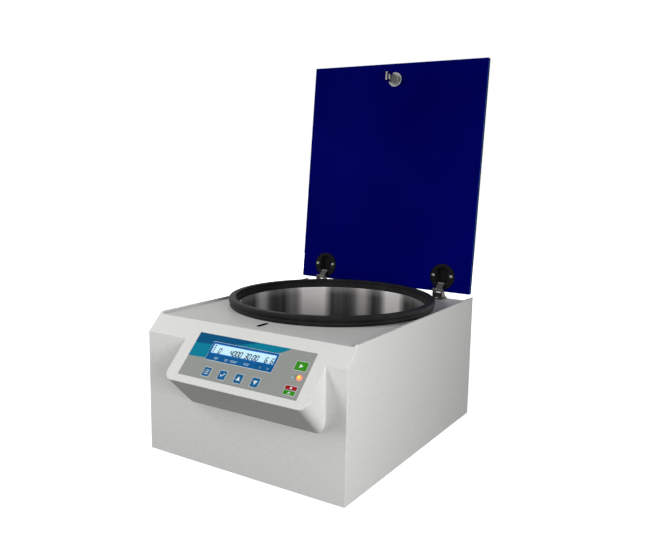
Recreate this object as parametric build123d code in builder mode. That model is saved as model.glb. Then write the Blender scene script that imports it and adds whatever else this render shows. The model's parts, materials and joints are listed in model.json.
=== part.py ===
from build123d import *
import os
from math import atan2, cos, degrees, hypot, radians, sin, sqrt, tan

# Bench centrifuge with an upright flat lid, a sloping control console and a swing-out rotor.
# Millimetres. +Z is up, -Y is the front. The origin is on the bench, in the middle of the outline
# that the machine fills with its lid open, as it is modelled here.

# Casing
casing_width = 330.0
casing_depth = 404.0
casing_height = 199.4
front_height = 174.2
slope_run = 24.8
casing_wall = 2.5
edge_round = 1.2
sheet = 2.0
deck_drop = 3.0
deck_cove = 2.0
flange_round = 0.8
rear_recess = 13.5
rear_turn = 14.0
tray_flange = 14.0
ledge_length = 12.0

# Feet and case screws
foot_height = 8.0
foot_radius = 15.0
foot_taper = 2.0
foot_inset = 45.0
screw_radius = 2.0
screw_head_radius = 4.0
screw_head_height = 2.5
screw_length = 10.0
screw_slot_width = 1.2
screw_slot_share = 1.5
panel_screw_inset = 35.0

# Console and its face
console_left = 94.0
console_right = 134.6
console_reach = 62.7
console_corner = 13.0
console_edge = 1.0
overlay_width = 190.0
overlay_height = 66.0
overlay_middle_x = 21.3
overlay_middle_up = -19.2
overlay_thickness = 1.0
overlay_recess = 0.8
frame_width = 108.0
frame_height = 27.2
frame_middle_x = 10.5
frame_middle_up = -10.2
window_width = 102.7
window_height = 14.0
window_middle_up = -6.2
frame_proud = 0.3
module_height = 36.0
module_side = 4.0
key_gap = 0.2
key_travel = 0.4
key_proud = 0.1
pad_thickness = 0.5
pad_corner = 0.8
stem_radius = 1.8
stem_gap = 0.4
row_key_width = 11.5
row_key_height = 12.5
row_key_first_x = -30.2
row_key_spacing = 26.4
row_key_up = -40.9
side_key_x = 102.1
start_key_width = 17.5
start_key_height = 11.9
start_key_up = -7.0
stop_key_width = 16.5
stop_key_height = 5.2
stop_key_up = -37.7
open_key_height = 5.6
open_key_up = -44.2
status_lamp_x = 106.9
status_lamp_up = -22.8
status_lamp_radius = 4.0
power_lamp_x = 96.7
power_lamp_up = -23.8
power_lamp_radius = 1.3
lamp_gap = 0.2
board_depth = 10.0
board_thickness = 1.6
board_margin = 5.0
switch_size = 5.0
switch_height = 3.6
plunger_radius = 1.6
plunger_height = 0.7
standoff_radius = 2.5
standoff_inset = 3.5

# Bowl, gasket and the seal round the spindle
chamber_depth = 227.5
bowl_wall = 1.5
bowl_floor_height = 76.0
bowl_corner = 18.0
bowl_flange = 8.0
bowl_hole_radius = 20.0
gasket_side_gap = 0.3
gasket_width = 11.2
gasket_overhang = 4.5
gasket_height = 14.5
gasket_edge = 1.0
lobe_split_rise = 6.9
lobe_split_depth = 2.6
lower_lobe_inset = 1.4
crest_edge_inset = 3.8
gasket_foot_inset = 3.6
lip_height = 4.0
lip_groove_depth = 1.4
lip_groove_width = 0.8
inner_wall_reach = 1.2
inner_foot_reach = 3.0
seal_lip_gap = 0.7
seal_neck_gap = 0.2

# Motor, its rubber mounts and the spindle
mount_spacing = 104.0
mount_radius = 12.0
mount_height = 14.0
mount_bolt_radius = 3.0
mount_nut_radius = 5.5
mount_nut_height = 5.0
motor_plate_size = 136.0
motor_plate_thickness = 3.0
motor_radius = 58.0
motor_wall = 4.0
motor_height = 52.0
stator_bore = 36.5
stator_height = 30.0
stator_rise = 12.0
armature_gap = 0.6
armature_height = 24.0
armature_rise = 2.0
bearing_bore = 7.5
bearing_outer = 16.0
bearing_height = 9.0
bearing_groove = 1.2
running_clearance = 0.05
shoulder_radius = 9.0
spindle_tip = 5.0

# Swing-out rotor
bucket_clearance = 7.0
pivot_radius = 62.0
bucket_outer = 22.0
bucket_wall = 2.5
bucket_above = 12.0
bucket_below = 59.0
bucket_floor = 3.0
bucket_rim = 2.0
bucket_rim_height = 3.0
bucket_ear_radius = 6.0
bucket_ear_reach = 4.2
trunnion_radius = 3.0
trunnion_inside = 0.6
trunnion_seat = 6.0
trunnion_end_gap = 0.2
yoke_hub_radius = 24.0
yoke_hub_below = 14.0
yoke_hub_above = 10.0
yoke_arm_width = 18.0
yoke_arm_half_height = 8.0
yoke_head_half_height = 10.0
yoke_head_gap = 0.8
yoke_head_half_length = 9.0
yoke_head_thickness = 10.0
rotor_nut_radius = 13.0
rotor_nut_height = 14.0
nut_notches = 12
nut_notch_radius = 1.5

# Lid, its two-pivot hinges and the striker
lid_overhang = 2.2
lid_thickness = 6.0
lid_edge = 0.6
lid_corner = 2.0
lid_lean = 5.6
lid_foot_depth = 387.8
lid_foot_rise = 6.5
lid_gasket_gap = 0.7
hinge_inset = 50.0
cup_rise = 25.0
cup_flange_radius = 21.5
cup_flange_thickness = 2.0
cup_body_radius = 17.3
cup_hole_gap = 0.2
cup_channel_width = 20.0
cup_channel_radius = 15.8
cup_cap_radius = 20.0
cup_cap_thickness = 3.0
cup_cap_recess = 1.5
cup_pin_proud = 1.0
cup_screw_spacing = 31.6
cup_screw_rise = 1.3
cup_screw_radius = 1.0
cup_screw_head_radius = 2.8
cup_screw_head_height = 1.2
knuckle_depth = 374.5
knuckle_rise = 14.1
hinge_pin_radius = 1.6
arm_width = 11.0
arm_thickness = 2.6
arm_knuckle_radius = 3.0
arm_cup_radius = 2.6
ear_gap = 0.6
ear_thickness = 2.5
ear_radius = 3.6
web_inset = 0.8
web_thickness = 1.5
web_gap = 0.5
bracket_width = 21.0
bracket_before = 9.8
bracket_behind = 14.8
bracket_thickness = 2.0
bracket_screw_inset = 4.0
bracket_screw_radius = 1.5
bracket_screw_length = 6.0
striker_inset = 27.4
boss_radius = 12.4
boss_thickness = 2.5
boss_nut_radius = 9.0
boss_nut_thickness = 5.0
tongue_proud = 34.0
tongue_width = 14.5
tongue_thickness = 3.0
eye_width = 8.5
eye_length = 8.0
eye_edge = 3.0
stud_radius = 3.0
back_nut_radius = 7.0
back_nut_thickness = 2.0

# Lid latch under the deck
slot_length = 21.0
slot_width = 5.0
bolt_radius = 3.2
bolt_gap = 0.1
bolt_rest = 4.8
bolt_travel = 10.0
cheek_inside = 4.5
latch_half_depth = 14.0
cheek_half_depth = 10.0
cheek_below = 8.0
collar_radius = 5.5
collar_thickness = 2.0
collar_distance = 24.0
spring_mean_radius = 4.35
spring_wire = 0.45
spring_turns = 7
plunger_body_radius = 4.5
plunger_gap = 0.3
solenoid_front = 30.0
solenoid_length = 34.0
solenoid_half_depth = 11.0
solenoid_below = 9.0
plunger_length = 26.0

# Mains inlet, power switch and vents on the rear panel
socket_x = -105.0
socket_height = 60.0
inlet_flange_width = 50.0
inlet_flange_height = 46.0
inlet_flange_thickness = 3.0
inlet_body_width = 46.0
inlet_body_height = 42.0
inlet_body_length = 30.0
inlet_recess_width = 24.5
inlet_recess_height = 16.5
inlet_recess_depth = 18.0
inlet_recess_drop = 9.0
pin_width = 2.0
pin_height = 5.0
pin_length = 14.0
pin_spacing = 7.0
pin_offset = 2.5
drawer_width = 26.0
drawer_height = 12.0
drawer_rise = 13.0
drawer_proud = 1.5
switch_x = -50.0
switch_bezel_width = 22.0
switch_bezel_height = 30.0
switch_bezel_thickness = 2.0
switch_body_width = 18.0
switch_body_height = 26.0
switch_body_length = 20.0
rocker_width = 12.0
rocker_half_height = 9.0
rocker_gap = 0.5
rocker_lean = 8.0
rocker_pin_radius = 1.2
rocker_pin_length = 1.2
rocker_proud = 4.5
rocker_dip = 1.5
rocker_heel = 1.0
vent_slot_length = 70.0
vent_slot_width = 3.5
vent_pitch = 8.0
vent_rows = 8
vent_middle_x = 65.0
vent_height = 115.0
tray_vent_rows = 5

# Motor drive board on the tray
drive_board_width = 150.0
drive_board_depth = 64.0
drive_board_front = 28.0
drive_board_rise = 8.0
heatsink_width = 70.0
heatsink_depth = 24.0
heatsink_height = 26.0
heatsink_fins = 8
fin_thickness = 3.0
heatsink_base = 5.0
capacitor_radius = 9.0
capacitor_height = 30.0
capacitor_spacing = 22.5
capacitor_middle = 48.75

# Levels worked out from the sizes above
half_width = casing_width / 2
inside_half = half_width - casing_wall
slope_angle = atan2(casing_height - front_height, slope_run)
casing_z = foot_height
tray_top = casing_z + sheet
lip_z = casing_z + casing_height
slope_foot_z = casing_z + front_height
deck_z = lip_z - deck_drop
deck_under = deck_z - sheet
deck_front_depth = (deck_z - slope_foot_z) / tan(slope_angle)
lean = radians(lid_lean)
lid_length = casing_depth - slope_run + lid_overhang
striker_height = lid_length - striker_inset
toe_depth = -console_reach * cos(slope_angle)
lid_back_depth = lid_foot_depth + lid_length * sin(lean) + lid_thickness * cos(lean)
front_y = -(lid_back_depth + toe_depth) / 2
back_y = front_y + casing_depth
rear_face = back_y - rear_recess
panel_face = rear_face - sheet
chamber_y = front_y + chamber_depth
bowl_floor_z = casing_z + bowl_floor_height
gasket_outer = inside_half - sheet - gasket_side_gap
gasket_inner = gasket_outer - gasket_width
bowl_radius = gasket_inner - gasket_overhang
pivot_z = bowl_floor_z + bucket_clearance + bucket_below
lid_width = casing_width
panel_screw_x = half_width - panel_screw_inset
hinge_x = (hinge_inset - half_width, half_width - hinge_inset)

console_normal = (0, -sin(slope_angle), cos(slope_angle))
console_plane = Plane(origin=(0, front_y, slope_foot_z), x_dir=(1, 0, 0), z_dir=console_normal)
chamber_section = Plane(origin=(0, chamber_y, 0), x_dir=(1, 0, 0), z_dir=(0, -1, 0))
chamber_axis = Axis((0, chamber_y, 0), (0, 0, 1))
chamber_floor = Plane(origin=(0, chamber_y, 0))


def slope_height(depth, below=0):
    """Height of the slope's face at a depth from the front, or of the line that lies below it."""
    return slope_foot_z + depth * tan(slope_angle) - below / cos(slope_angle)


def corner(sketch, x, y):
    """The sketch's vertex nearest to a point."""
    return sketch.vertices().sort_by_distance((x, y))[0]


# Console: the slope's plane runs on below the front edge, and its toe stands out of the front wall


def console_block(skin, back_depth, top_up):
    """Rounded block square to the slope, moved in by skin and cut off at a depth."""
    width = console_left + console_right
    height = console_reach + top_up
    with BuildPart() as block:
        with BuildSketch(console_plane.offset(-skin)) as outline:
            with Locations(((console_right - console_left) / 2, (top_up - console_reach + skin) / 2)):
                Rectangle(width - 2 * skin, height - skin)
            fillet(outline.vertices().group_by(Axis.Y)[0], console_corner - skin)
        extrude(amount=-2 * console_reach)
        split(bisect_by=Plane.XZ.offset(-front_y - back_depth), keep=Keep.TOP)
        if skin == 0:
            face_edges = block.faces().sort_by(Axis(console_plane.origin, console_plane.z_dir))[-1].edges()
            fillet(face_edges.sort_by(Axis.Z)[:-1], console_edge)
    return block.part


# Keys on the console: name, place across and up the slope, width and height
keys = [
    ("mode_key", row_key_first_x, row_key_up, row_key_width, row_key_height),
    ("set_key", row_key_first_x + row_key_spacing, row_key_up, row_key_width, row_key_height),
    ("up_key", row_key_first_x + 2 * row_key_spacing, row_key_up, row_key_width, row_key_height),
    ("down_key", row_key_first_x + 3 * row_key_spacing, row_key_up, row_key_width, row_key_height),
    ("start_key", side_key_x, start_key_up, start_key_width, start_key_height),
    ("stop_key", side_key_x, stop_key_up, stop_key_width, stop_key_height),
    ("open_key", side_key_x, open_key_up, stop_key_width, open_key_height),
]
key_places = [(x, up) for name, x, up, width, height in keys]
lamps = [
    (status_lamp_x, status_lamp_up, status_lamp_radius),
    (power_lamp_x, power_lamp_up, power_lamp_radius),
]

# Outer casing: front, slope, console and both side walls in one shell
with BuildPart() as outer_casing:
    with BuildSketch(Plane.YZ.offset(-half_width)):
        with BuildLine():
            Polyline(
                (front_y, casing_z),
                (front_y, slope_foot_z),
                (front_y + slope_run, lip_z),
                (back_y, lip_z),
                (back_y, casing_z),
                close=True,
            )
        make_face()
    extrude(amount=casing_width)
    side_faces = outer_casing.faces().filter_by(Axis.X)
    fillet(side_faces.edges(), edge_round)
    add(console_block(0, casing_wall / 2, casing_wall))
    inner_foot = slope_height(casing_wall, casing_wall)
    ledge_under = deck_under - casing_wall
    ledge_depth = (ledge_under + casing_wall / cos(slope_angle) - slope_foot_z) / tan(slope_angle)
    ledge_end = deck_front_depth + ledge_length
    with BuildSketch(Plane.YZ.offset(-inside_half)):
        with BuildLine():
            Polyline(
                (front_y + casing_wall, casing_z - 1),
                (front_y + casing_wall, inner_foot),
                (front_y + ledge_depth, ledge_under),
                (front_y + ledge_end, ledge_under),
                (front_y + ledge_end, deck_under),
                (front_y + deck_front_depth, deck_under),
                (front_y + deck_front_depth, lip_z + 1),
                (back_y + 1, lip_z + 1),
                (back_y + 1, casing_z - 1),
                close=True,
            )
        make_face()
    extrude(amount=2 * inside_half, mode=Mode.SUBTRACT)
    add(console_block(casing_wall, 2 * casing_wall, 2 * casing_wall), mode=Mode.SUBTRACT)
    with BuildSketch(console_plane):
        with Locations((overlay_middle_x, overlay_middle_up)):
            Rectangle(overlay_width, overlay_height)
    extrude(amount=-overlay_recess, mode=Mode.SUBTRACT)
    with BuildSketch(console_plane):
        with Locations((frame_middle_x, window_middle_up)):
            Rectangle(window_width, window_height)
        with Locations(*key_places):
            Circle(stem_radius + stem_gap)
        for x, up, radius in lamps:
            with Locations((x, up)):
                Circle(radius + lamp_gap)
    extrude(amount=-2 * casing_wall, mode=Mode.SUBTRACT)

# Striker slot and bracket screws are placed by the closed lid and the hinges
slot_y = front_y + casing_depth - striker_height
knuckle_y = front_y + knuckle_depth
bracket_middle_y = knuckle_y + (bracket_behind - bracket_before) / 2
bracket_length = bracket_before + bracket_behind
bracket_screw_reach = bracket_length / 2 - bracket_screw_inset
bracket_screw_places = [
    (x, bracket_middle_y + side * bracket_screw_reach) for x in hinge_x for side in (-1, 1)
]

# Rear panel screws: two through the deck's rear turn, then two into the tray's turned-up edge
panel_screw_places = [
    (side * panel_screw_x, z)
    for z in (deck_z - rear_turn / 2, tray_top + tray_flange / 2)
    for side in (-1, 1)
]

# Deck: a tray between the side walls, turned up at both sides and down at the back
with BuildPart() as top_panel:
    deck_front_y = front_y + deck_front_depth
    with BuildSketch(Plane.YZ.offset(-inside_half)) as deck_side:
        with BuildLine():
            Polyline(
                (deck_front_y, deck_under),
                (deck_front_y, deck_z),
                (rear_face, deck_z),
                (rear_face, deck_z - rear_turn),
                (rear_face - sheet, deck_z - rear_turn),
                (rear_face - sheet, deck_under),
                close=True,
            )
        make_face()
        fillet(corner(deck_side, rear_face, deck_z), 2 * sheet)
        fillet(corner(deck_side, rear_face - sheet, deck_under), sheet)
    extrude(amount=2 * inside_half)
    with BuildSketch(Plane.XZ.offset(-deck_front_y)) as deck_section:
        with BuildLine():
            Polyline(
                (-inside_half, deck_under),
                (-inside_half, lip_z),
                (-inside_half + sheet, lip_z),
                (-inside_half + sheet, deck_z),
                (inside_half - sheet, deck_z),
                (inside_half - sheet, lip_z),
                (inside_half, lip_z),
                (inside_half, deck_under),
                close=True,
            )
        make_face()
        fillet(
            [
                corner(deck_section, -inside_half + sheet, deck_z),
                corner(deck_section, inside_half - sheet, deck_z),
            ],
            deck_cove,
        )
        fillet(
            [
                corner(deck_section, -inside_half + sheet, lip_z),
                corner(deck_section, inside_half - sheet, lip_z),
            ],
            flange_round,
        )
    extrude(amount=deck_front_y + 2 * sheet - rear_face)
    with BuildSketch(Plane.YZ.offset(-half_width)):
        with BuildLine():
            Polyline(
                (deck_front_y - 1, deck_z - 1),
                (deck_front_y - 1, lip_z + 1),
                (front_y + slope_run + 1 / tan(slope_angle), lip_z + 1),
                (deck_front_y, deck_z),
                (deck_front_y, deck_z - 1),
                close=True,
            )
        make_face()
    extrude(amount=casing_width, mode=Mode.SUBTRACT)
    with BuildSketch(Plane.XY.offset(deck_z)):
        with Locations((0, chamber_y)):
            Circle(bowl_radius + 2 * bowl_wall)
        with Locations((0, slot_y)):
            Rectangle(slot_width, slot_length)
        with Locations(*bracket_screw_places):
            Circle(bracket_screw_radius)
    extrude(amount=-sheet, mode=Mode.SUBTRACT)
    with BuildSketch(Plane.XZ.offset(-rear_face)):
        with Locations(*panel_screw_places[:2]):
            Circle(screw_radius)
    extrude(amount=sheet, mode=Mode.SUBTRACT)

# Base tray: floor of the machine, with turned-up edges that the side walls are screwed to
tray_depth = panel_face - sheet - front_y - casing_wall
tray_middle_y = front_y + casing_wall + tray_depth / 2
foot_x = half_width - foot_inset
foot_front_y = front_y + foot_inset
foot_back_y = rear_face - foot_inset
foot_places = [(x, y) for x in (-foot_x, foot_x) for y in (foot_front_y, foot_back_y)]
mount_half = mount_spacing / 2
mount_places = [(x, chamber_y + y) for x in (-mount_half, mount_half) for y in (-mount_half, mount_half)]

with BuildPart() as base_tray:
    with BuildSketch(Plane.XY.offset(casing_z)):
        with Locations((0, tray_middle_y)):
            Rectangle(2 * inside_half, tray_depth)
    extrude(amount=tray_flange)
    with BuildSketch(Plane.XY.offset(tray_top)):
        with Locations((0, tray_middle_y)):
            Rectangle(2 * (inside_half - sheet), tray_depth - 2 * sheet)
    extrude(amount=tray_flange, mode=Mode.SUBTRACT)
    with BuildSketch(Plane.XY.offset(casing_z)):
        with Locations(*foot_places):
            Circle(screw_radius)
        with Locations(*mount_places):
            Circle(mount_bolt_radius)
        with Locations((0, chamber_y)):
            with GridLocations(0, vent_pitch, 1, tray_vent_rows):
                SlotOverall(vent_slot_length, vent_slot_width)
    extrude(amount=sheet, mode=Mode.SUBTRACT)
    with BuildSketch(Plane.XZ.offset(sheet - panel_face)):
        with Locations(*panel_screw_places[2:]):
            Circle(screw_radius)
    extrude(amount=sheet, mode=Mode.SUBTRACT)

# Four rubber feet, each sunk for its screw head
head_pocket = screw_head_height + screw_radius / 2
with BuildPart() as rubber_feet:
    with BuildSketch(Plane.XY):
        with Locations(*foot_places):
            Circle(foot_radius)
    extrude(amount=foot_height)
    chamfer(rubber_feet.edges().group_by(Axis.Z)[0], foot_taper)
    with Locations(*[(x, y, 0) for x, y in foot_places]):
        Cylinder(
            screw_head_radius + screw_radius / 2,
            head_pocket,
            align=(Align.CENTER, Align.CENTER, Align.MIN),
            mode=Mode.SUBTRACT,
        )
        Cylinder(
            screw_radius,
            foot_height,
            align=(Align.CENTER, Align.CENTER, Align.MIN),
            mode=Mode.SUBTRACT,
        )


def screw_set(seats, head_radius, head_height, shank_radius, length):
    """Slotted screws: each seat is the point under the head and the way the head faces."""
    with BuildPart() as screws:
        for place, heading in seats:
            seat = Plane(origin=place, x_dir=(1, 0, 0), z_dir=heading)
            with BuildSketch(seat):
                Circle(head_radius)
            extrude(amount=head_height)
            with BuildSketch(seat):
                Circle(shank_radius)
            extrude(amount=-length)
            with BuildSketch(seat.offset(head_height)):
                Rectangle(screw_slot_share * head_radius, screw_slot_width)
            extrude(amount=-head_height / 2, mode=Mode.SUBTRACT)
    return screws


# Rear panel, set in between the side walls, inside the deck's rear turn
panel_height = deck_under - sheet - tray_top
socket_z = casing_z + socket_height
vent_z = casing_z + vent_height
with BuildPart() as rear_panel:
    with BuildSketch(Plane.XZ.offset(-panel_face)):
        with Locations((0, tray_top + panel_height / 2)):
            Rectangle(2 * inside_half, panel_height)
    extrude(amount=sheet)
    with BuildSketch(Plane.XZ.offset(-panel_face)):
        with Locations(
            (-inside_half + sheet / 2, tray_top + panel_height / 2),
            (inside_half - sheet / 2, tray_top + panel_height / 2),
        ):
            Rectangle(sheet, panel_height - 2 * tray_flange)
    extrude(amount=tray_flange)
    with BuildSketch(Plane.XZ.offset(-panel_face)):
        with Locations((socket_x, socket_z)):
            Rectangle(inlet_body_width, inlet_body_height)
        with Locations((switch_x, socket_z)):
            Rectangle(switch_body_width, switch_body_height)
        with Locations((-vent_middle_x, vent_z), (vent_middle_x, vent_z)):
            with GridLocations(0, vent_pitch, 1, vent_rows):
                SlotOverall(vent_slot_length, vent_slot_width)
        with Locations(*panel_screw_places):
            Circle(screw_radius)
    extrude(amount=sheet, mode=Mode.SUBTRACT)

case_screws = screw_set(
    [((x, y, head_pocket), (0, 0, -1)) for x, y in foot_places]
    + [((x, rear_face, z), (0, 1, 0)) for x, z in panel_screw_places[:2]]
    + [((x, panel_face, z), (0, 1, 0)) for x, z in panel_screw_places[2:]],
    screw_head_radius,
    screw_head_height,
    screw_radius,
    screw_length,
)

# Stainless bowl, hung by its flange on the deck
bowl_top = deck_z + bowl_wall
bowl_under = bowl_floor_z - bowl_wall
with BuildPart() as bowl:
    with BuildSketch(chamber_section) as bowl_section:
        with BuildLine():
            Polyline(
                (bowl_radius + bowl_flange, deck_z),
                (bowl_radius + bowl_flange, bowl_top),
                (bowl_radius, bowl_top),
                (bowl_radius, bowl_floor_z),
                (bowl_hole_radius, bowl_floor_z),
                (bowl_hole_radius, bowl_under),
                (bowl_radius + bowl_wall, bowl_under),
                (bowl_radius + bowl_wall, deck_z),
                close=True,
            )
        make_face()
        fillet(corner(bowl_section, bowl_radius, bowl_floor_z), bowl_corner)
        fillet(corner(bowl_section, bowl_radius + bowl_wall, bowl_under), bowl_corner + bowl_wall)
        fillet(corner(bowl_section, bowl_radius, bowl_top), bowl_wall / 2)
    revolve(axis=chamber_axis)

# Rim gasket: two round lobes outside, a flat crest that the lid closes on and a grooved wall inside
crest_z = deck_z + gasket_height
split_z = deck_z + lobe_split_rise
split_radius = gasket_outer - lobe_split_depth
groove_z = crest_z - lip_height
flange_edge = bowl_radius + bowl_flange + seal_neck_gap
with BuildPart() as rim_gasket:
    with BuildSketch(chamber_section) as gasket_section:
        with BuildLine():
            ThreePointArc(
                (gasket_outer - gasket_foot_inset, deck_z),
                (gasket_outer - lower_lobe_inset, (deck_z + split_z) / 2),
                (split_radius, split_z),
            )
            ThreePointArc(
                (split_radius, split_z),
                (gasket_outer, (split_z + crest_z) / 2),
                (gasket_outer - crest_edge_inset, crest_z),
            )
            Polyline(
                (gasket_outer - crest_edge_inset, crest_z),
                (gasket_inner, crest_z),
                (gasket_inner, groove_z),
                (gasket_inner + lip_groove_depth, groove_z),
                (gasket_inner + lip_groove_depth, groove_z - lip_groove_width),
                (gasket_inner - inner_wall_reach, groove_z - lip_groove_width),
                (gasket_inner - inner_foot_reach, bowl_top),
                (flange_edge, bowl_top),
                (flange_edge, deck_z),
                (gasket_outer - gasket_foot_inset, deck_z),
            )
        make_face()
        fillet(corner(gasket_section, gasket_inner, crest_z), gasket_edge)
        fillet(
            corner(gasket_section, gasket_inner - inner_wall_reach, groove_z - lip_groove_width),
            gasket_edge / 2,
        )
    revolve(axis=chamber_axis)

# Motor: plate on four rubber mounts, housing, stator, armature and two bearings
mount_top = tray_top + mount_height
plate_top = mount_top + motor_plate_thickness
motor_top = plate_top + motor_height
stator_z = plate_top + stator_rise
with BuildPart() as motor_mounts:
    with BuildSketch(Plane.XY.offset(tray_top)):
        with Locations(*mount_places):
            Circle(mount_radius)
            Circle(mount_bolt_radius, mode=Mode.SUBTRACT)
    extrude(amount=mount_height)
    round_edges = motor_mounts.edges().filter_by(GeomType.CIRCLE)
    fillet(round_edges.filter_by(lambda edge: edge.radius > mount_radius - sheet), sheet)

with BuildPart() as motor_plate:
    with BuildSketch(Plane.XY.offset(mount_top)):
        with Locations((0, chamber_y)):
            RectangleRounded(motor_plate_size, motor_plate_size, mount_radius)
            Circle(shoulder_radius, mode=Mode.SUBTRACT)
        with Locations(*mount_places):
            Circle(mount_bolt_radius, mode=Mode.SUBTRACT)
    extrude(amount=motor_plate_thickness)
    with BuildSketch(chamber_floor.offset(plate_top)):
        Circle(bearing_outer + motor_wall)
        Circle(bearing_outer, mode=Mode.SUBTRACT)
    extrude(amount=bearing_height)

with BuildPart() as mount_bolts:
    with BuildSketch(Plane.XY.offset(casing_z)):
        with Locations(*mount_places):
            RegularPolygon(mount_nut_radius, 6)
    extrude(amount=-foot_height / 2)
    with BuildSketch(Plane.XY.offset(casing_z)):
        with Locations(*mount_places):
            Circle(mount_bolt_radius)
    extrude(amount=plate_top + mount_nut_height + sheet - casing_z)
    with BuildSketch(Plane.XY.offset(plate_top)):
        with Locations(*mount_places):
            RegularPolygon(mount_nut_radius, 6)
    extrude(amount=mount_nut_height)

upper_seat_z = motor_top - sheet - bearing_height
with BuildPart() as motor_housing:
    with BuildSketch(chamber_section) as housing_section:
        with BuildLine():
            Polyline(
                (motor_radius + motor_wall, plate_top),
                (motor_radius + motor_wall, plate_top + motor_wall),
                (motor_radius, plate_top + motor_wall),
                (motor_radius, motor_top),
                (shoulder_radius, motor_top),
                (shoulder_radius, motor_top - sheet),
                (bearing_outer, motor_top - sheet),
                (bearing_outer, upper_seat_z),
                (bearing_outer + motor_wall, upper_seat_z),
                (bearing_outer + motor_wall, motor_top - motor_wall),
                (motor_radius - motor_wall, motor_top - motor_wall),
                (motor_radius - motor_wall, plate_top),
                close=True,
            )
        make_face()
        fillet(corner(housing_section, motor_radius, motor_top), motor_wall / 2)
    revolve(axis=chamber_axis)

with BuildPart() as stator:
    with BuildSketch(chamber_section):
        with BuildLine():
            Polyline(
                (motor_radius - motor_wall, stator_z),
                (motor_radius - motor_wall, stator_z + stator_height),
                (stator_bore + 2 * motor_wall, stator_z + stator_height),
                (stator_bore + 2 * motor_wall, stator_z + stator_height + motor_wall),
                (stator_bore, stator_z + stator_height + motor_wall),
                (stator_bore, stator_z - motor_wall),
                (stator_bore + 2 * motor_wall, stator_z - motor_wall),
                (stator_bore + 2 * motor_wall, stator_z),
                close=True,
            )
        make_face()
    revolve(axis=chamber_axis)

race_inner = bearing_bore + (bearing_outer - bearing_bore) / 3
race_outer = bearing_outer - (bearing_outer - bearing_bore) / 3
with BuildPart() as spindle_bearings:
    for seat_z in (plate_top, upper_seat_z):
        with BuildSketch(chamber_floor.offset(seat_z)):
            Circle(bearing_outer)
            Circle(bearing_bore + running_clearance, mode=Mode.SUBTRACT)
        extrude(amount=bearing_height)
        for face_z, direction in ((seat_z, 1), (seat_z + bearing_height, -1)):
            with BuildSketch(chamber_floor.offset(face_z)):
                Circle(race_outer)
                Circle(race_inner, mode=Mode.SUBTRACT)
            extrude(amount=direction * bearing_groove, mode=Mode.SUBTRACT)

hub_z = pivot_z - yoke_hub_below
hub_top = pivot_z + yoke_hub_above
lower_shoulder = plate_top + bearing_height + sheet / 4
upper_shoulder = upper_seat_z - sheet / 4
with BuildPart() as spindle:
    with BuildSketch(chamber_section):
        with BuildLine():
            Polyline(
                (0, plate_top + sheet / 4),
                (bearing_bore, plate_top + sheet / 4),
                (bearing_bore, lower_shoulder),
                (shoulder_radius, lower_shoulder),
                (shoulder_radius, upper_shoulder),
                (bearing_bore, upper_shoulder),
                (bearing_bore, hub_top),
                (spindle_tip, hub_top),
                (spindle_tip, hub_top + rotor_nut_height - sheet),
                (0, hub_top + rotor_nut_height - sheet),
                close=True,
            )
        make_face()
    revolve(axis=chamber_axis)

with BuildPart() as motor_armature:
    with BuildSketch(chamber_floor.offset(stator_z + armature_rise)):
        Circle(stator_bore - armature_gap)
        Circle(shoulder_radius, mode=Mode.SUBTRACT)
    extrude(amount=armature_height)

# Rubber seal that closes the bowl's hole round the spindle
seal_bore = shoulder_radius + seal_lip_gap
seal_neck = bowl_hole_radius - seal_neck_gap
seal_flange = bowl_hole_radius + motor_wall
with BuildPart() as chamber_seal:
    with BuildSketch(chamber_section) as seal_section:
        with BuildLine():
            Polyline(
                (seal_bore + sheet, motor_top),
                (seal_flange, motor_top),
                (seal_flange, bowl_under),
                (seal_neck, bowl_under),
                (seal_neck, bowl_floor_z),
                (seal_flange, bowl_floor_z),
                (seal_flange, bowl_floor_z + sheet),
                (seal_bore + sheet, bowl_floor_z + 2 * sheet),
                (seal_bore, bowl_floor_z + 2 * sheet),
                (seal_bore, bowl_floor_z + sheet),
                (seal_bore + sheet, bowl_floor_z + sheet),
                close=True,
            )
        make_face()
    revolve(axis=chamber_axis)

# Rotor yoke: a hub with four arms, each ending in a head that carries two trunnion pins
head_face = bucket_outer + bucket_ear_reach + yoke_head_gap
head_near = pivot_radius - yoke_head_half_length
head_far = pivot_radius + yoke_head_half_length
quarter_turns = (0, 90, 180, 270)
with BuildPart() as rotor_yoke:
    with BuildSketch(chamber_floor.offset(hub_z)):
        Circle(yoke_hub_radius)
    extrude(amount=hub_top - hub_z)
    arm_reach = (head_near + head_face) / sqrt(2) + yoke_head_thickness / 2
    with BuildSketch(chamber_floor.offset(pivot_z)):
        Rectangle(2 * arm_reach, yoke_arm_width, rotation=45)
        Rectangle(2 * arm_reach, yoke_arm_width, rotation=-45)
    extrude(amount=yoke_arm_half_height, both=True)
    with BuildSketch(chamber_floor.offset(pivot_z)) as heads:
        with BuildLine():
            Polyline(
                (head_near, head_face),
                (head_far, head_face),
                (head_far, head_face + yoke_head_thickness),
                (head_face + yoke_head_thickness, head_far),
                (head_face, head_far),
                (head_face, head_near),
                close=True,
            )
        make_face()
        for turn in quarter_turns[1:]:
            add(heads.faces().sort_by_distance((pivot_radius, pivot_radius))[0], rotation=turn)
    extrude(amount=yoke_head_half_height, both=True)
    with BuildSketch(chamber_floor.offset(hub_z)):
        Circle(bearing_bore)
    extrude(amount=hub_top - hub_z, mode=Mode.SUBTRACT)
    trunnion_in = head_face + trunnion_seat
    for turn in quarter_turns:
        bucket_frame = chamber_floor.offset(pivot_z).rotated((0, 0, turn))
        for side in (-1, 1):
            pin_plane = Plane(
                origin=bucket_frame.from_local_coords((pivot_radius, side * head_face, 0)),
                z_dir=bucket_frame.y_dir * side,
            )
            with BuildSketch(pin_plane):
                Circle(trunnion_radius)
            extrude(amount=trunnion_seat, mode=Mode.SUBTRACT)

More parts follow.
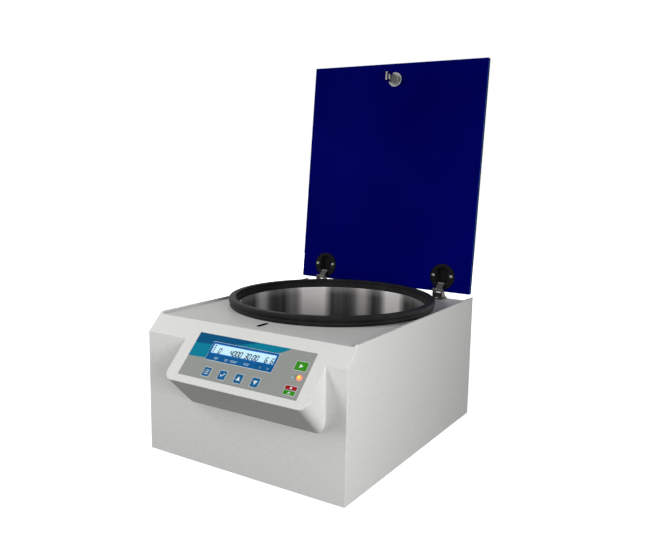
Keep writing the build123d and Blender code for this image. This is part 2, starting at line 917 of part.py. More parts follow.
# Trunnion pins, pressed into the heads and reaching into the buckets' ears
pin_start = bucket_outer + trunnion_inside
with BuildPart() as trunnion_pins:
    for turn in quarter_turns:
        bucket_frame = chamber_floor.offset(pivot_z).rotated((0, 0, turn))
        for side in (-1, 1):
            pin_plane = Plane(
                origin=bucket_frame.from_local_coords((pivot_radius, side * pin_start, 0)),
                z_dir=bucket_frame.y_dir * side,
            )
            with BuildSketch(pin_plane):
                Circle(trunnion_radius)
            extrude(amount=trunnion_in - pin_start)

with BuildPart() as rotor_nut:
    with BuildSketch(chamber_floor.offset(hub_top)):
        Circle(rotor_nut_radius)
        with PolarLocations(rotor_nut_radius, nut_notches):
            Circle(nut_notch_radius, mode=Mode.SUBTRACT)
    extrude(amount=rotor_nut_height)
    with BuildSketch(chamber_floor.offset(hub_top)):
        Circle(spindle_tip)
    extrude(amount=rotor_nut_height - sheet, mode=Mode.SUBTRACT)


def swing_bucket(turn):
    """Round cup hung on two trunnion pins, at rest with its mouth up."""
    frame = chamber_floor.offset(pivot_z).rotated((0, 0, turn))
    middle = Plane(
        origin=frame.from_local_coords((pivot_radius, 0, 0)), x_dir=frame.x_dir, z_dir=(0, 0, 1)
    )
    bore_depth = bucket_above + bucket_below - bucket_floor
    with BuildPart() as bucket:
        with BuildSketch(middle.offset(-bucket_below)):
            Circle(bucket_outer)
        extrude(amount=bucket_above + bucket_below)
        fillet(bucket.edges().group_by(Axis.Z)[0], bucket_floor)
        with BuildSketch(middle.offset(bucket_above - bucket_rim_height)):
            Circle(bucket_outer + bucket_rim)
        extrude(amount=bucket_rim_height)
        for side in (-1, 1):
            ear_plane = Plane(
                origin=frame.from_local_coords((pivot_radius, 0, 0)), z_dir=frame.y_dir * side
            )
            with BuildSketch(ear_plane):
                Circle(bucket_ear_radius)
            extrude(amount=bucket_outer + bucket_ear_reach)
        for side in (-1, 1):
            ear_plane = Plane(
                origin=frame.from_local_coords((pivot_radius, side * (bucket_outer + trunnion_end_gap), 0)),
                z_dir=frame.y_dir * side,
            )
            with BuildSketch(ear_plane):
                Circle(trunnion_radius + running_clearance)
            extrude(amount=bucket_ear_reach, mode=Mode.SUBTRACT)
        with BuildSketch(middle.offset(bucket_above)):
            Circle(bucket_outer - bucket_wall)
        extrude(amount=-bore_depth, mode=Mode.SUBTRACT)
    return bucket


buckets = {f"bucket_{number}": swing_bucket(turn) for number, turn in enumerate(quarter_turns, 1)}

# Lid, open as it stands in use, leaning back on its hinges
lid_foot_y = front_y + lid_foot_depth
lid_foot_z = lip_z + lid_foot_rise
lid_plane = Plane(
    origin=(0, lid_foot_y, lid_foot_z), x_dir=(1, 0, 0), z_dir=(0, -cos(lean), sin(lean))
)
cup_screw_places = [
    (x + side * cup_screw_spacing / 2, cup_rise + cup_screw_rise) for x in hinge_x for side in (-1, 1)
]
with BuildPart() as lid_panel:
    with BuildSketch(lid_plane):
        with Locations((0, lid_length / 2)):
            RectangleRounded(lid_width, lid_length, lid_corner)
    extrude(amount=-lid_thickness)
    chamfer(lid_panel.faces().filter_by(Axis(lid_plane.origin, lid_plane.z_dir)).edges(), lid_edge)
    with BuildSketch(lid_plane):
        with Locations((hinge_x[0], cup_rise), (hinge_x[1], cup_rise)):
            Circle(cup_body_radius + cup_hole_gap)
        with Locations((0, striker_height)):
            Circle(stud_radius)
    extrude(amount=-lid_thickness, mode=Mode.SUBTRACT)

# The closed lid lies flat over the gasket with its back edge over the casing's back.
# The cup pin is the point of the lid that lies as far from the knuckle pin closed as open.
closed_z = crest_z + lid_gasket_gap
knuckle = (knuckle_y, deck_z + knuckle_rise)
open_offset = (lid_foot_y - knuckle[0], lid_foot_z - knuckle[1])
closed_offset = (back_y - knuckle[0], closed_z - knuckle[1])
open_up = (sin(lean), cos(lean))
open_out = (cos(lean), -sin(lean))
out_change = closed_offset[1] - (open_offset[0] * open_out[0] + open_offset[1] * open_out[1])
reach_change = hypot(*closed_offset) ** 2 - hypot(*open_offset) ** 2 - 2 * cup_pin_proud * out_change
up_open = open_offset[0] * open_up[0] + open_offset[1] * open_up[1]
cup_pin_rise = reach_change / (2 * (up_open + closed_offset[0]))
cup_pin = (
    lid_foot_y + cup_pin_rise * open_up[0] - cup_pin_proud * open_out[0],
    lid_foot_z + cup_pin_rise * open_up[1] - cup_pin_proud * open_out[1],
)
cup_pin_closed = (back_y - cup_pin_rise, closed_z - cup_pin_proud)
arm_open_angle = degrees(atan2(cup_pin[1] - knuckle[1], cup_pin[0] - knuckle[0]))
arm_closed_angle = degrees(atan2(cup_pin_closed[1] - knuckle[1], cup_pin_closed[0] - knuckle[0]))
arm_turn = arm_open_angle - arm_closed_angle
lid_turn = 90 + lid_lean + arm_turn


def hinge_cup(x):
    """Round cup let into the lid, with a channel that the arm folds into."""
    with BuildPart() as cup:
        with BuildSketch(lid_plane):
            with Locations((x, cup_rise)):
                Circle(cup_flange_radius)
        extrude(amount=cup_flange_thickness)
        fillet(cup.edges().sort_by(Axis(lid_plane.origin, lid_plane.z_dir))[-1], cup_flange_thickness / 2)
        with BuildSketch(lid_plane):
            with Locations((x, cup_rise)):
                Circle(cup_body_radius)
        extrude(amount=-lid_thickness)
        with BuildSketch(lid_plane.offset(cup_flange_thickness)):
            with Locations((x, cup_rise)):
                Circle(cup_channel_radius)
                Rectangle(cup_channel_width, 2 * cup_channel_radius, mode=Mode.INTERSECT)
        extrude(amount=-cup_flange_thickness - lid_thickness, mode=Mode.SUBTRACT)
        with BuildSketch(lid_plane.offset(cup_flange_thickness)):
            with Locations(*cup_screw_places):
                Circle(cup_screw_radius)
        extrude(amount=-cup_flange_thickness - lid_thickness, mode=Mode.SUBTRACT)
        pin_plane = Plane(origin=(x, *cup_pin), z_dir=(1, 0, 0))
        with BuildSketch(pin_plane):
            Circle(hinge_pin_radius + running_clearance)
        extrude(amount=pin_half_length + running_clearance, both=True, mode=Mode.SUBTRACT)
    return cup


pin_half_length = cup_channel_width / 2 + sheet
ear_inside = arm_width / 2 + ear_gap
ear_outside = ear_inside + ear_thickness
left_hinge_cup = hinge_cup(hinge_x[0])
right_hinge_cup = hinge_cup(hinge_x[1])

with BuildPart() as hinge_caps:
    with BuildSketch(lid_plane.offset(-lid_thickness)):
        with Locations((hinge_x[0], cup_rise), (hinge_x[1], cup_rise)):
            Circle(cup_cap_radius)
    extrude(amount=-cup_cap_thickness)
    cap_normal = Axis(lid_plane.origin, lid_plane.z_dir)
    fillet(hinge_caps.edges().group_by(cap_normal)[0], cup_cap_thickness / 2)
    with BuildSketch(lid_plane.offset(-lid_thickness)):
        with Locations((hinge_x[0], cup_rise), (hinge_x[1], cup_rise)):
            Circle(cup_channel_radius)
            Rectangle(cup_channel_width, 2 * cup_channel_radius, mode=Mode.INTERSECT)
    extrude(amount=-cup_cap_recess, mode=Mode.SUBTRACT)

cup_screws = screw_set(
    [
        (lid_plane.from_local_coords((x, up, cup_flange_thickness)), lid_plane.z_dir)
        for x, up in cup_screw_places
    ],
    cup_screw_head_radius,
    cup_screw_head_height,
    cup_screw_radius,
    cup_flange_thickness + lid_thickness,
)


def hinge_arm(x):
    """Flat link between the knuckle pin and the cup pin, with an eye rolled at each end."""
    span = hypot(cup_pin[0] - knuckle[0], cup_pin[1] - knuckle[1])
    arm_plane = Plane(
        origin=(x, *knuckle),
        x_dir=(0, cos(radians(arm_open_angle)), sin(radians(arm_open_angle))),
        z_dir=(1, 0, 0),
    )
    with BuildPart() as arm:
        with BuildSketch(arm_plane):
            Circle(arm_knuckle_radius)
            with Locations((span, 0)):
                Circle(arm_cup_radius)
            with Locations((span / 2, 0)):
                Rectangle(span, arm_thickness)
            Circle(hinge_pin_radius, mode=Mode.SUBTRACT)
            with Locations((span, 0)):
                Circle(hinge_pin_radius, mode=Mode.SUBTRACT)
        extrude(amount=arm_width / 2, both=True)
    return arm


left_hinge_arm = hinge_arm(hinge_x[0])
right_hinge_arm = hinge_arm(hinge_x[1])

with BuildPart() as hinge_pins:
    for x in hinge_x:
        with BuildSketch(Plane(origin=(x, *knuckle), z_dir=(1, 0, 0))):
            Circle(hinge_pin_radius)
        extrude(amount=ear_outside, both=True)
        with BuildSketch(Plane(origin=(x, *cup_pin), z_dir=(1, 0, 0))):
            Circle(hinge_pin_radius)
        extrude(amount=pin_half_length, both=True)


def hinge_bracket(x):
    """Folded bracket on the deck: a foot, two ears that slope away behind the knuckle and a web."""
    ear_front = knuckle_y - ear_radius
    ear_back = knuckle_y + bracket_behind - bracket_thickness
    with BuildPart() as bracket:
        with BuildSketch(Plane.XY.offset(deck_z)):
            with Locations((x, bracket_middle_y)):
                RectangleRounded(bracket_width, bracket_length, bracket_thickness)
        extrude(amount=bracket_thickness)
        for side in (-1, 1):
            with BuildSketch(Plane.YZ.offset(x + side * (ear_inside + ear_outside) / 2)):
                with BuildLine():
                    Polyline(
                        (ear_front, deck_z + bracket_thickness / 2),
                        (ear_front, knuckle[1]),
                        (knuckle[0], knuckle[1] + ear_radius),
                        (knuckle[0] + ear_radius, knuckle[1]),
                        (ear_back, deck_z + bracket_thickness),
                        (ear_back, deck_z + bracket_thickness / 2),
                        close=True,
                    )
                make_face()
                with Locations(knuckle):
                    Circle(ear_radius)
                    Circle(hinge_pin_radius + running_clearance, mode=Mode.SUBTRACT)
            extrude(amount=ear_thickness / 2, both=True)
        web_front = ear_front + web_inset
        with BuildSketch(Plane.XY.offset(deck_z + bracket_thickness / 2)):
            with Locations((x, web_front + web_thickness / 2)):
                Rectangle(ear_inside + ear_outside, web_thickness)
        extrude(amount=knuckle_rise - bracket_thickness / 2 - arm_knuckle_radius - web_gap)
        with BuildSketch(Plane.XY.offset(deck_z)):
            with Locations(*bracket_screw_places):
                Circle(bracket_screw_radius)
        extrude(amount=bracket_thickness, mode=Mode.SUBTRACT)
    return bracket


left_hinge_bracket = hinge_bracket(hinge_x[0])
right_hinge_bracket = hinge_bracket(hinge_x[1])
bracket_screws = screw_set(
    [((x, y, deck_z + bracket_thickness), (0, 0, 1)) for x, y in bracket_screw_places],
    cup_screw_head_radius,
    cup_screw_head_height,
    bracket_screw_radius,
    bracket_screw_length,
)

# Striker: a round boss on the lid and a tongue with an eye for the latch bolt
with BuildPart() as striker_boss:
    with BuildSketch(lid_plane):
        with Locations((0, striker_height)):
            Circle(boss_radius)
    extrude(amount=boss_thickness)
    boss_normal = Axis(lid_plane.origin, lid_plane.z_dir)
    fillet(striker_boss.edges().group_by(boss_normal)[-1], boss_thickness / 2)
    with BuildSketch(lid_plane.offset(boss_thickness)):
        with Locations((0, striker_height)):
            RegularPolygon(boss_nut_radius, 6, rotation=30)
    extrude(amount=boss_nut_thickness)
    chamfer(striker_boss.edges().group_by(boss_normal)[-1], boss_thickness / 4)
    with BuildSketch(lid_plane):
        with Locations((0, striker_height)):
            Circle(stud_radius)
    extrude(amount=-lid_thickness - back_nut_thickness)
    with BuildSketch(lid_plane.offset(boss_thickness)):
        with Locations((0, striker_height)):
            Rectangle(tongue_thickness, tongue_width)
    extrude(amount=boss_nut_thickness, mode=Mode.SUBTRACT)

with BuildPart() as striker_tongue:
    with BuildSketch(Plane(origin=lid_plane.from_local_coords((-tongue_thickness / 2, striker_height, 0)),
                           x_dir=lid_plane.z_dir, z_dir=(1, 0, 0))) as tongue_outline:
        with Locations(((tongue_proud + boss_thickness) / 2, 0)):
            Rectangle(tongue_proud - boss_thickness, tongue_width)
        fillet(tongue_outline.vertices().group_by(Axis.X)[-1], eye_edge)
        with Locations((tongue_proud - eye_edge - eye_length / 2, 0)):
            Rectangle(eye_length, eye_width, mode=Mode.SUBTRACT)
    extrude(amount=tongue_thickness)

with BuildPart() as striker_nut:
    with BuildSketch(lid_plane.offset(-lid_thickness)):
        with Locations((0, striker_height)):
            Circle(back_nut_radius)
            Circle(stud_radius, mode=Mode.SUBTRACT)
    extrude(amount=-back_nut_thickness)

# Latch: a channel under the deck, a sprung bolt and the solenoid that pushes it
bolt_z = closed_z - tongue_proud + eye_edge + eye_length / 2
solenoid_end = solenoid_front + solenoid_length
channel_length = solenoid_end + sheet + cheek_inside + 2 * sheet
channel_middle_x = (cheek_inside + 2 * sheet - solenoid_end - sheet) / 2
cheek_height = deck_under - bolt_z + cheek_below
bolt_plane = Plane(origin=(0, slot_y, bolt_z), x_dir=(0, 1, 0), z_dir=(1, 0, 0))
with BuildPart() as latch_channel:
    with BuildSketch(Plane.XY.offset(deck_under)):
        with Locations((channel_middle_x, slot_y)):
            Rectangle(channel_length, 2 * latch_half_depth)
        with Locations((0, slot_y)):
            Rectangle(2 * cheek_inside, slot_length + sheet, mode=Mode.SUBTRACT)
    extrude(amount=-sheet)
    with BuildSketch(Plane.XY.offset(deck_under)):
        with Locations((-cheek_inside - sheet / 2, slot_y), (cheek_inside + sheet / 2, slot_y)):
            Rectangle(sheet, 2 * cheek_half_depth)
        with Locations((-solenoid_end - sheet / 2, slot_y)):
            Rectangle(sheet, 2 * cheek_half_depth)
    extrude(amount=-cheek_height)
    with BuildSketch(bolt_plane.offset(-cheek_inside - sheet)):
        Circle(bolt_radius + bolt_gap)
    extrude(amount=2 * cheek_inside + 2 * sheet, mode=Mode.SUBTRACT)

rod_start = solenoid_front
with BuildPart() as latch_bolt:
    with BuildSketch(bolt_plane.offset(-bolt_rest)):
        Circle(bolt_radius)
    extrude(amount=bolt_rest - rod_start)
    with BuildSketch(bolt_plane.offset(-collar_distance)):
        Circle(collar_radius)
    extrude(amount=-collar_thickness)
    with BuildSketch(bolt_plane.offset(-rod_start)):
        Circle(plunger_body_radius)
    extrude(amount=-plunger_length)
    chamfer(latch_bolt.edges().group_by(Axis.X)[-1], spring_wire)

spring_room = collar_distance - cheek_inside - sheet
spring_height = spring_room - 2 * spring_wire - bolt_gap
with BuildPart() as latch_spring:
    with BuildLine() as coil:
        Helix(
            spring_height / spring_turns,
            spring_height,
            spring_mean_radius,
            center=(-collar_distance + spring_wire + bolt_gap / 2, slot_y, bolt_z),
            direction=(1, 0, 0),
        )
    with BuildSketch(Plane(origin=coil.line @ 0, z_dir=coil.line % 0)):
        Circle(spring_wire)
    sweep(is_frenet=True)

with BuildPart() as latch_solenoid:
    with BuildSketch(bolt_plane.offset(-solenoid_end)):
        with Locations((0, (deck_under - sheet - bolt_z - solenoid_below) / 2)):
            Rectangle(2 * solenoid_half_depth, deck_under - sheet - bolt_z + solenoid_below)
    extrude(amount=solenoid_length)
    fillet(latch_solenoid.edges().filter_by(Axis.X), sheet)
    with BuildSketch(bolt_plane.offset(-solenoid_front)):
        Circle(plunger_body_radius + plunger_gap)
    extrude(amount=-solenoid_length + sheet, mode=Mode.SUBTRACT)

# Console face: overlay, display and keys
overlay_floor = -overlay_recess
overlay_top = overlay_thickness - overlay_recess
board_plane = console_plane.offset(-board_depth)
with BuildPart() as control_overlay:
    with BuildSketch(console_plane.offset(overlay_floor)):
        with Locations((overlay_middle_x, overlay_middle_up)):
            Rectangle(overlay_width, overlay_height)
        with Locations((frame_middle_x, frame_middle_up)):
            Rectangle(frame_width, frame_height, mode=Mode.SUBTRACT)
        for name, x, up, width, height in keys:
            with Locations((x, up)):
                RectangleRounded(width + 2 * key_gap, height + 2 * key_gap, pad_corner + key_gap, mode=Mode.SUBTRACT)
        for x, up, radius in lamps:
            with Locations((x, up)):
                Circle(radius + lamp_gap, mode=Mode.SUBTRACT)
    extrude(amount=overlay_thickness)

with BuildPart() as display_frame:
    with BuildSketch(console_plane.offset(overlay_floor)):
        with Locations((frame_middle_x, frame_middle_up)):
            Rectangle(frame_width, frame_height)
        with Locations((frame_middle_x, window_middle_up)):
            Rectangle(window_width, window_height, mode=Mode.SUBTRACT)
    extrude(amount=overlay_thickness + frame_proud)

with BuildPart() as display_window:
    with BuildSketch(console_plane.offset(overlay_floor)):
        with Locations((frame_middle_x, window_middle_up)):
            Rectangle(window_width, window_height)
    extrude(amount=overlay_thickness)

module_front = -casing_wall - module_side / 8
with BuildPart() as display_module:
    with BuildSketch(console_plane.offset(module_front)):
        with Locations((frame_middle_x, frame_middle_up)):
            Rectangle(frame_width + 2 * module_side, module_height)
    extrude(amount=-board_depth - module_front)
    with BuildSketch(console_plane.offset(module_front)):
        with Locations((frame_middle_x, window_middle_up)):
            Rectangle(window_width, window_height)
    extrude(amount=-module_side / 8, mode=Mode.SUBTRACT)

switch_top = -board_depth + switch_height + plunger_height
pad_top = overlay_top + key_proud
stem_end = switch_top + key_travel + key_proud / 2


def membrane_key(x, up, width, height):
    """Thin pad in the overlay with a stem that reaches down to its switch."""
    with BuildPart() as key:
        with BuildSketch(console_plane.offset(pad_top)):
            with Locations((x, up)):
                RectangleRounded(width, height, pad_corner)
        extrude(amount=-pad_thickness)
        with BuildSketch(console_plane.offset(pad_top - pad_thickness)):
            with Locations((x, up)):
                Circle(stem_radius)
        extrude(amount=stem_end - pad_top + pad_thickness)
    return key


key_parts = {name: membrane_key(x, up, width, height) for name, x, up, width, height in keys}

with BuildPart() as indicator_lamps:
    for x, up, radius in lamps:
        with BuildSketch(board_plane):
            with Locations((x, up)):
                Circle(radius)
        extrude(amount=board_depth + overlay_top + radius / 2)
        lamp_top = console_plane.from_local_coords((x, up, overlay_top + radius / 2))
        fillet(indicator_lamps.edges().filter_by(GeomType.CIRCLE).sort_by_distance(lamp_top)[0], radius / 2)

board_width = overlay_width - 2 * board_margin
board_height = overlay_height - 2 * board_margin
with BuildPart() as control_board:
    with BuildSketch(board_plane):
        with Locations((overlay_middle_x, overlay_middle_up)):
            Rectangle(board_width, board_height)
    extrude(amount=-board_thickness)
    with BuildSketch(board_plane):
        with Locations(*key_places):
            Rectangle(switch_size, switch_size)
    extrude(amount=switch_height)
    with BuildSketch(board_plane.offset(switch_height)):
        with Locations(*key_places):
            Circle(plunger_radius)
    extrude(amount=plunger_height)

# Motor drive board and the standoffs of both boards
drive_z = tray_top + drive_board_rise
drive_y = front_y + drive_board_front + drive_board_depth / 2
drive_board_plane = Plane(origin=(0, drive_y, drive_z))
with BuildPart() as drive_board:
    with BuildSketch(drive_board_plane):
        Rectangle(drive_board_width, drive_board_depth)
    extrude(amount=board_thickness)
    heatsink_x = -drive_board_width / 2 + heatsink_width / 2 + board_margin
    heatsink_y = -drive_board_depth / 2 + heatsink_depth / 2 + board_margin
    fin_pitch = (heatsink_width - fin_thickness) / (heatsink_fins - 1)
    with BuildSketch(drive_board_plane.offset(board_thickness)):
        with Locations((heatsink_x, heatsink_y)):
            Rectangle(heatsink_width, heatsink_depth)
    extrude(amount=heatsink_base)
    with BuildSketch(drive_board_plane.offset(board_thickness)):
        with Locations((heatsink_x, heatsink_y)):
            with GridLocations(fin_pitch, 0, heatsink_fins, 1):
                Rectangle(fin_thickness, heatsink_depth)
    extrude(amount=heatsink_height)
    with BuildSketch(drive_board_plane.offset(board_thickness)):
        with Locations((capacitor_middle, -capacitor_radius)):
            with GridLocations(capacitor_spacing, 0, 2, 1):
                Circle(capacitor_radius)
    extrude(amount=capacitor_height)

with BuildPart() as board_standoffs:
    with BuildSketch(console_plane.offset(-casing_wall)):
        with Locations((overlay_middle_x, overlay_middle_up)):
            with GridLocations(board_width - 2 * standoff_inset, board_height - 2 * standoff_inset, 2, 2):
                Circle(standoff_radius)
    extrude(amount=casing_wall - board_depth)
    with BuildSketch(Plane.XY.offset(tray_top)):
        with Locations((0, drive_y)):
            with GridLocations(drive_board_width - 2 * standoff_inset, drive_board_depth - 2 * standoff_inset, 2, 2):
                Circle(standoff_radius)
    extrude(amount=drive_board_rise)

# Mains inlet with its fuse drawer, and the power switch
rear_plane = Plane(origin=(0, panel_face, 0), x_dir=(-1, 0, 0), z_dir=(0, 1, 0))
with BuildPart() as power_inlet:
    with BuildSketch(rear_plane):
        with Locations((-socket_x, socket_z)):
            RectangleRounded(inlet_flange_width, inlet_flange_height, sheet)
    extrude(amount=inlet_flange_thickness)
    with BuildSketch(rear_plane):
        with Locations((-socket_x, socket_z)):
            Rectangle(inlet_body_width, inlet_body_height)
    extrude(amount=-inlet_body_length)
    with BuildSketch(rear_plane.offset(inlet_flange_thickness)):
        with Locations((-socket_x, socket_z + drawer_rise)):
            RectangleRounded(drawer_width, drawer_height, sheet / 2)
    extrude(amount=drawer_proud)
    with BuildSketch(rear_plane.offset(inlet_flange_thickness)) as recess:
        with Locations((-socket_x, socket_z - inlet_recess_drop)):
            Rectangle(inlet_recess_width, inlet_recess_height)
        chamfer(recess.vertices().group_by(Axis.Y)[0], 2 * sheet)
    extrude(amount=-inlet_recess_depth, mode=Mode.SUBTRACT)
    with BuildSketch(rear_plane.offset(inlet_flange_thickness - inlet_recess_depth)):
        with Locations(
            (-socket_x - pin_spacing, socket_z - inlet_recess_drop - pin_offset),
            (-socket_x + pin_spacing, socket_z - inlet_recess_drop - pin_offset),
            (-socket_x, socket_z - inlet_recess_drop + pin_offset),
        ):
            Rectangle(pin_width, pin_height)
    extrude(amount=pin_length)

pivot_y = panel_face - sheet / 2
rocker_room = rocker_half_height + rocker_gap + rocker_dip
with BuildPart() as power_switch:
    with BuildSketch(rear_plane):
        with Locations((-switch_x, socket_z)):
            RectangleRounded(switch_bezel_width, switch_bezel_height, sheet)
    extrude(amount=switch_bezel_thickness)
    with BuildSketch(rear_plane):
        with Locations((-switch_x, socket_z)):
            Rectangle(switch_body_width, switch_body_height)
    extrude(amount=-switch_body_length)
    with BuildSketch(rear_plane.offset(switch_bezel_thickness)):
        with Locations((-switch_x, socket_z)):
            Rectangle(rocker_width + 2 * rocker_gap, 2 * rocker_room)
    extrude(amount=-2 * switch_bezel_thickness - rocker_half_height / 2, mode=Mode.SUBTRACT)
    with BuildSketch(Plane(origin=(switch_x, pivot_y, socket_z), z_dir=(1, 0, 0))):
        Circle(rocker_pin_radius + running_clearance)
    extrude(amount=rocker_width / 2 + rocker_pin_length + rocker_gap, both=True, mode=Mode.SUBTRACT)

rocker_tilt = radians(rocker_lean)
rocker_plane = Plane(
    origin=(switch_x, pivot_y, socket_z),
    x_dir=(0, sin(rocker_tilt), cos(rocker_tilt)),
    z_dir=(-1, 0, 0),
)
with BuildPart() as power_rocker:
    with BuildSketch(rocker_plane):
        with BuildLine():
            Polyline(
                (-rocker_half_height, rocker_proud),
                (0, rocker_proud - rocker_dip),
                (rocker_half_height, rocker_proud),
                (rocker_half_height - 2 * rocker_dip, -rocker_heel),
                (-rocker_half_height + 2 * rocker_dip, -rocker_heel),
                close=True,
            )
        make_face()
    extrude(amount=rocker_width / 2, both=True)
    with BuildSketch(rocker_plane):
        Circle(rocker_pin_radius)
    extrude(amount=rocker_width / 2 + rocker_pin_length, both=True)

# Every piece goes to its own file
pieces = {
    "base_tray": base_tray,
    "rubber_feet": rubber_feet,
    "outer_casing": outer_casing,
    "top_panel": top_panel,
    "rear_panel": rear_panel,
    "case_screws": case_screws,
    "bowl": bowl,
    "rim_gasket": rim_gasket,
    "chamber_seal": chamber_seal,
    "motor_mounts": motor_mounts,
    "motor_plate": motor_plate,
    "mount_bolts": mount_bolts,
    "motor_housing": motor_housing,
    "stator": stator,
    "spindle_bearings": spindle_bearings,
    "spindle": spindle,
    "motor_armature": motor_armature,
    "rotor_yoke": rotor_yoke,
    "trunnion_pins": trunnion_pins,
    "rotor_nut": rotor_nut,
    **buckets,
    "lid_panel": lid_panel,
    "left_hinge_cup": left_hinge_cup,
    "right_hinge_cup": right_hinge_cup,
    "hinge_caps": hinge_caps,
    "cup_screws": cup_screws,
    "left_hinge_arm": left_hinge_arm,
    "right_hinge_arm": right_hinge_arm,
    "hinge_pins": hinge_pins,
    "left_hinge_bracket": left_hinge_bracket,
    "right_hinge_bracket": right_hinge_bracket,
    "bracket_screws": bracket_screws,
    "striker_boss": striker_boss,
    "striker_tongue": striker_tongue,
    "striker_nut": striker_nut,
    "latch_channel": latch_channel,
    "latch_bolt": latch_bolt,
    "latch_spring": latch_spring,
    "latch_solenoid": latch_solenoid,
    "control_overlay": control_overlay,
    "display_frame": display_frame,
    "display_window": display_window,
    "display_module": display_module,
    **key_parts,
    "indicator_lamps": indicator_lamps,
    "control_board": control_board,
    "drive_board": drive_board,
    "board_standoffs": board_standoffs,
    "power_inlet": power_inlet,
    "power_switch": power_switch,
    "power_rocker": power_rocker,
}
os.makedirs("parts", exist_ok=True)
for name, piece in pieces.items():
    piece.part.label = name
    export_step(piece.part, f"parts/{name}.step")

print("pieces", len(pieces))
print("front face y", round(front_y, 3), "chamber y", round(chamber_y, 3), "slot y", round(slot_y, 3))
print("knuckle pin", [round(value, 3) for value in knuckle], "cup pin", [round(value, 3) for value in cup_pin])
print("arm turns", round(arm_turn, 3), "lid turns on arm", round(lid_turn, 3), "degrees")
print("bolt height", round(bolt_z, 3), "closed lid face", round(closed_z, 3))
print("rocker pivot", [switch_x, round(pivot_y, 3), socket_z])
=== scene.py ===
import json
from math import atan2, cos, pi, radians, sin

import bmesh
import bpy
from mathutils import Matrix, Quaternion, Vector


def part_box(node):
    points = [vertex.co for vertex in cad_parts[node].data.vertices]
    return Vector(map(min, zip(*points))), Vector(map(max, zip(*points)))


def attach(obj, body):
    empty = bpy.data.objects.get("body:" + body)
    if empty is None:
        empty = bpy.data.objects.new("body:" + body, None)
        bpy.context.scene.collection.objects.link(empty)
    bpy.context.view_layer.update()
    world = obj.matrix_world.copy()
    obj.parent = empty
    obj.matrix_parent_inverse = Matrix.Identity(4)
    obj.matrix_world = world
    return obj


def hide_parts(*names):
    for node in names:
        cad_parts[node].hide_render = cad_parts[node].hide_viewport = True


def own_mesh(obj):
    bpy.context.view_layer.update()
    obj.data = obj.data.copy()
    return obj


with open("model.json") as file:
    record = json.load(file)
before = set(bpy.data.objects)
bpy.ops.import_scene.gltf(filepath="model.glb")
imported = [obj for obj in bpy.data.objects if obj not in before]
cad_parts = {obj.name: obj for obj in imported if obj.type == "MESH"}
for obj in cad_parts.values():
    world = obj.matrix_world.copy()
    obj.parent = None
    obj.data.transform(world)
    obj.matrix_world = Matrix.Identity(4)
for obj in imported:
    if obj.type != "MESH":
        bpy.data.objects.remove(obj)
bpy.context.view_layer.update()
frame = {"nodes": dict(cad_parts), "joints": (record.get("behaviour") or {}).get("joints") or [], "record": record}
nodes = frame["nodes"]
joints = {joint["name"]: joint for joint in frame["joints"]}

MM = 0.001
IN_MM = Matrix.Diagonal((MM, MM, MM, 1))
SIDES = (-1, 1)


def box_mm(node):
    """Lowest and highest corner of a node at rest, in millimetres."""
    low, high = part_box(node)
    return low / MM, high / MM


# Sizes and places are in millimetres, where no comment says otherwise

# The casing's front face, the slope that rises from its top edge, and the open lid
FRONT = -193.505
SLOPE_FOOT = 182.2
SLOPE_RUN = 24.8
SLOPE_RISE = 25.2
LID_FOOT = (0, FRONT + 387.8, 213.9)
LID_LEAN = radians(5.6)

# The deck's height and the rear panel's outer face, from the frame
DECK = box_mm("left_hinge_bracket")[0].z
PANEL_FACE = box_mm("rear_panel")[1].y

# A point on the rotor's axis in metres, from the frame
CHAMBER = joints["rotor_spin"]["pos_m"]


def plane_matrix(origin, across, up):
    """Matrix of a plane in metres, with its origin given in millimetres: X across, Y up and Z out of it."""
    out = across.cross(up)
    turn = Matrix((across, up, out)).transposed().to_4x4()
    return Matrix.Translation(Vector(origin) * MM) @ turn


SLOPE_ANGLE = atan2(SLOPE_RISE, SLOPE_RUN)
RIGHT = Vector((1, 0, 0))
CONSOLE = plane_matrix((0, FRONT, SLOPE_FOOT), RIGHT, Vector((0, cos(SLOPE_ANGLE), sin(SLOPE_ANGLE))))
LID = plane_matrix(LID_FOOT, RIGHT, Vector((0, sin(LID_LEAN), cos(LID_LEAN))))
LID_OUT = LID.to_3x3() @ Vector((0, 0, 1))


def on_console(node):
    """Middle and size of a node as it lies on the console's face, and the height of its top over the face."""
    to_face = CONSOLE.inverted()
    points = [to_face @ vertex.co / MM for vertex in nodes[node].data.vertices]
    low = [min(point[axis] for point in points) for axis in range(3)]
    high = [max(point[axis] for point in points) for axis in range(3)]
    middle = ((low[0] + high[0]) / 2, (low[1] + high[1]) / 2)
    return middle, (high[0] - low[0], high[1] - low[1]), high[2]


# Steps of the materials

# A noise lies mostly between these values
NOISE_LOW = 0.3
NOISE_HIGH = 0.7

# Numbers of the Mix node's colour sockets
MIX_FIRST = 6
MIX_SECOND = 7
MIX_RESULT = 2


def new_material(name):
    """A material with its node tree, its Principled shader and its object coordinates."""
    material = bpy.data.materials.new(name)
    material.use_nodes = True
    tree = material.node_tree
    place = tree.nodes.new("ShaderNodeTexCoord").outputs["Object"]
    return material, tree, tree.nodes["Principled BSDF"], place


def feed(tree, socket, value):
    """Gives a socket its value: another socket, a colour or a number."""
    if isinstance(value, bpy.types.NodeSocket):
        tree.links.new(value, socket)
    elif isinstance(value, tuple):
        socket.default_value = (*value, 1.0)
    else:
        socket.default_value = value


def set_shader(shader, **values):
    """Feeds the shader's own sockets, given by their names with underscores."""
    for name, value in values.items():
        feed(shader.id_data, shader.inputs[name.replace("_", " ")], value)


